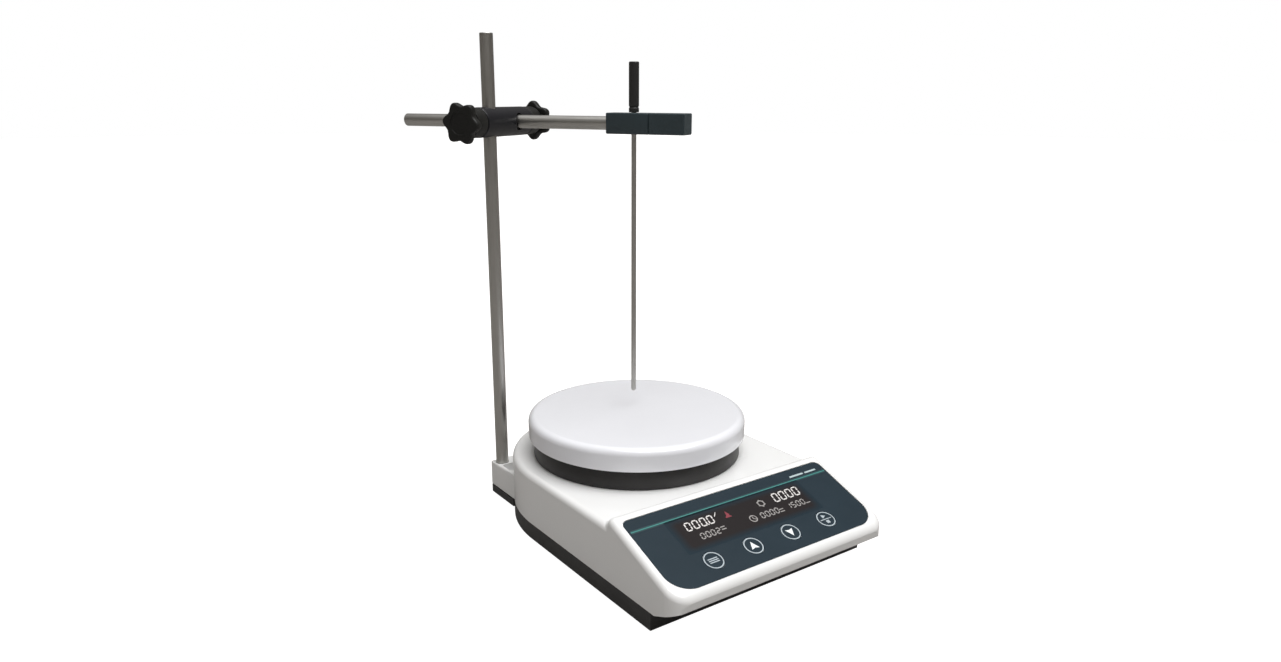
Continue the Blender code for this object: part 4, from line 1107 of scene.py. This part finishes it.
def make_knob(name, joint, start, phase):
    """A threaded stud with a star knob on its outer end."""
    place = knob_frame(joint)
    stud = smooth(new_object(f"{name}_thread", threaded_stud(start), SCREW_STEEL, place), 50)
    stands(stud, f"{name}_stud", "steel", f"{name}_stud")

    star = prism(f"{name}_star", star_outline(phase), KNOB_BASE, KNOB_TOP, KNOB_BLACK, place)
    apply_modifiers(bevelled(star, 0.0014, 5, 60))
    hub_start, hub_end = 0.0005, KNOB_BASE + 0.002
    hub = fillet([
        (0, hub_end), (NECK_RADIUS, hub_end, 0), (NECK_RADIUS, NECK_START, 0.0005), (HUB_RADIUS, NECK_START),
        (HUB_RADIUS, hub_start), (0, hub_start),
    ], 0.0008, 4)
    join(star, turned(f"{name}_hub", hub, KNOB_BLACK, place, 72))
    above = KNOB_TOP + 0.002
    dish = [(0, above), (0.0068, above, 0), (0.0064, KNOB_TOP - 0.0005), (0, KNOB_TOP - 0.0007)]
    dish = fillet(dish, 0.0003, 3)
    cut(
        star,
        turned(f"{name}_dish", dish, KNOB_BLACK, place, 72),
        bar(f"{name}_bore", STUD_RADIUS + GAP, -0.001, STUD_END + GAP, place=place),
    )
    stands(smooth(star, 35), f"{name}_knob", "knob_black", f"{name}_knob")


def make_knobs():
    """Each stud starts just clear of the steel that it clamps."""
    reach = ROD_RADIUS + GAP
    make_knob("rod_clamp", "rod_knob_turn", reach - abs(BOSS_REAR), math.radians(-7))
    make_knob("arm_clamp", "arm_knob_turn", reach - abs(BOSS_FRONT - ARM_OFFSET), math.pi / KNOB_LOBES)


def make_arm():
    profile = fillet(rod_profile(ROD_RADIUS, ARM_REAR, ARM_FRONT, 0.0006), 0.0003, 3)
    stands(turned("arm_steel", profile, STEEL, ARM @ turn(90, "Y"), 64), "side_arm", "steel", "side_arm")


def make_holder():
    """A square block on the arm's end that grips the probe, and a cap on its far end."""
    half = HOLDER_SIDE / 2
    side = rounded_rectangle(span(0, half), span(0, half), 0.0009, 4)
    place = ARM @ turn(90, "Y")  # Z along the arm
    body = prism("holder_block", side, HOLDER_START, HOLDER_SPLIT - 0.00012, HOLDER_SLATE, place)
    apply_modifiers(bevelled(body, 0.0005, 3, 50))
    cut(
        body,
        bar("holder_bore", ROD_RADIUS + HOLDER_FIT, HOLDER_START - 0.001, ARM_FRONT + GAP, axis="X", place=ARM),
        bar("probe_way", PROBE_RADIUS + PROBE_FIT, -0.009, 0.009, middle=(PROBE_ALONG, 0), place=ARM, sides=48),
    )
    stands(smooth(body, 35), "probe_holder", "holder_slate", "probe_holder")
    cap = prism("holder_cap", side, HOLDER_SPLIT + 0.00012, HOLDER_END, HOLDER_SLATE, place)
    stands(soften(cap, 0.0006, 4, 50), "probe_holder", "holder_slate", "holder_end_cap")


def make_probe():
    low, high = (corner.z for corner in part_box("probe_shaft"))
    tip = arc((0, low + PROBE_RADIUS), PROBE_RADIUS, 0, -90, 8)
    crown = [(0, high), (PROBE_RADIUS - 0.0002, high), (PROBE_RADIUS, high - 0.0002)]
    profile = crown + tip[:-1] + [(0, low)]
    stands(turned("probe_tube", profile, STEEL, PROBE, 48), "probe", "steel", "probe_shaft")
    seat, top = (corner.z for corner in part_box("probe_handle"))
    sleeve, sleeve_end = PROBE_RADIUS + PROBE_FIT, top - 0.012
    groove = HANDLE_RADIUS - 0.0003
    profile = [
        (0, top), (HANDLE_RADIUS, top, 0.0007), (HANDLE_RADIUS, seat + 0.0035, 0.0002),
        (groove, seat + 0.0032, 0.0002), (groove, seat + 0.0026, 0.0002),
        (HANDLE_RADIUS, seat + 0.0023, 0.0002), (HANDLE_RADIUS, seat), (sleeve, seat),
    ]
    profile = fillet(profile, 0.0003, 4) + [(sleeve, sleeve_end), (0, sleeve_end)]
    stands(turned("probe_grip", profile, HANDLE_BLACK, PROBE, 64), "probe", "knob_black", "probe_handle")


# ---- inner pieces, which keep their CAD shape

INNER_LOOKS = (
    (BOARD, "control_board power_board"), (GLASS, "display_module"), (COPPER, "transformer"),
    (SWITCH_BLACK, "filter_capacitor menu_switch up_switch down_switch run_switch"),
    (PRESSED_STEEL, "heat_shield motor_body motor_bracket"), (HEATER_COIL, "heating_element"),
    (FIBRE, "insulation_pad"), (BRASS, "plate_sensor motor_bearing"), (STEEL, "motor_shaft"),
    (KNOB_BLACK, "magnet_carrier"), (MAGNET, "drive_magnet_1 drive_magnet_2"),
)


def paint_inner_pieces():
    for material, names in INNER_LOOKS:
        for name in names.split():
            node = frame["nodes"][name]
            if not node.material_slots:
                node.data.materials.append(material)
            for material_slot in node.material_slots:
                material_slot.material = material


# ---- stage, light and camera

FLOOR_RADIUS = 6.0


def make_floor():
    look = Look("pale_floor", Roughness=0.9, Specular_IOR_Level=0.1)
    look.varied((0.26, 0.25, 0.24), 0.004, 3.0)
    look.set("Emission Color", (1.0, 1.0, 1.0))
    look.set("Emission Strength", look.math("MULTIPLY", look.node("LightPath").outputs["Is Camera Ray"], 1.0))
    prism("floor", circle(FLOOR_RADIUS, 96), -0.004, 0.0, look.material)


def make_world():
    """White behind the object, and a soft grey studio that is brighter above for everything else."""
    world = bpy.data.worlds.new("studio")
    bpy.context.scene.world = world
    world.use_nodes = True
    nodes, link = world.node_tree.nodes, world.node_tree.links.new
    direction, height, ramp, white, path, mix = (
        nodes.new(f"ShaderNode{kind}")
        for kind in ("TexCoord", "SeparateXYZ", "ValToRGB", "Background", "LightPath", "MixShader")
    )
    stops = []
    for place, value in ((0.0, 0.145), (0.30, 0.195), (0.62, 0.28), (1.0, 0.36)):
        warmth = 1.0 - place
        stops.append((place, (value, value * (1 - 0.08 * warmth), value * (1 - 0.18 * warmth))))
    fill_ramp(ramp, stops)
    link(direction.outputs["Generated"], height.inputs[0])
    link(height.outputs["Z"], ramp.inputs["Fac"])
    link(ramp.outputs["Color"], nodes["Background"].inputs["Color"])
    white.inputs["Color"].default_value = (1.0, 1.0, 1.0, 1.0)
    link(path.outputs["Is Camera Ray"], mix.inputs["Fac"])
    link(nodes["Background"].outputs[0], mix.inputs[1])
    link(white.outputs[0], mix.inputs[2])
    link(mix.outputs[0], nodes["World Output"].inputs["Surface"])


def make_light(name, kind, energy, direction, distance=1.2, glossy=True, **settings):
    """A light on the side that direction points to, aimed at the middle of the object."""
    light = bpy.data.lights.new(name, kind)
    light.energy = energy
    for key, value in settings.items():
        setattr(light, key, value)
    obj = bpy.data.objects.new(name, light)
    bpy.context.scene.collection.objects.link(obj)
    towards = Vector(direction).normalized()
    target = PLATE_AXIS + Vector((0, 0, 0.08))
    obj.location = target + towards * distance
    obj.rotation_euler = towards.to_track_quat("Z", "Y").to_euler()
    obj.visible_glossy = glossy


def make_lights():
    """A broad light from above, and weak boxes. Those at the sides leave no bright stripe on the rods."""
    make_light("key_sun", "SUN", 3.35, (0.12, -0.26, 0.96), angle=math.radians(50))
    for name, energy, direction, distance, size, size_y, glossy in (
        ("top_box", 0.7, (-0.1, 0.35, 1.0), 1.0, 1.0, 0.7, True),
        ("front_box", 0.8, (0.45, -1.0, 0.25), 1.0, 0.7, 0.5, False),
        ("left_box", 0.45, (-0.9, 0.0, 0.3), 0.9, 0.4, 0.6, False),
    ):
        make_light(
            name, "AREA", energy, direction, distance, glossy, shape="RECTANGLE", size=size, size_y=size_y,
        )


def make_camera():
    """Seen from the left front, a little above, as a short lens sees it."""
    data = bpy.data.cameras.new("camera")
    data.sensor_width, data.lens = 36.0, 25.81
    data.shift_x, data.shift_y = 0.0005, 0.00783
    data.clip_start, data.clip_end = 0.01, 50.0
    camera = bpy.data.objects.new("camera", data)
    bpy.context.scene.collection.objects.link(camera)
    yaw, pitch, roll = math.radians(-35.605), math.radians(15.04), 0.179
    ahead = Vector((-math.sin(yaw) * math.cos(pitch), math.cos(yaw) * math.cos(pitch), -math.sin(pitch)))
    right = Vector((math.cos(yaw), math.sin(yaw), 0.0))
    place = PLATE_AXIS + Vector((-0.315659, -0.444087, 0.260697))
    camera.matrix_world = axes(right, right.cross(ahead), -ahead, place) @ turn(roll, "Z")
    bpy.context.scene.camera = camera


for make in (
    make_housing, make_pan, make_feet, make_screws, make_plate, make_ring, make_film_sheet, make_print,
    make_keys, make_inlet, make_switch, make_socket, make_rod, make_boss, make_knobs, make_arm, make_holder,
    make_probe, paint_inner_pieces, make_floor, make_world, make_lights, make_camera,
):
    make()

view = bpy.context.scene.view_settings
view.view_transform, view.look = "Standard", "None"
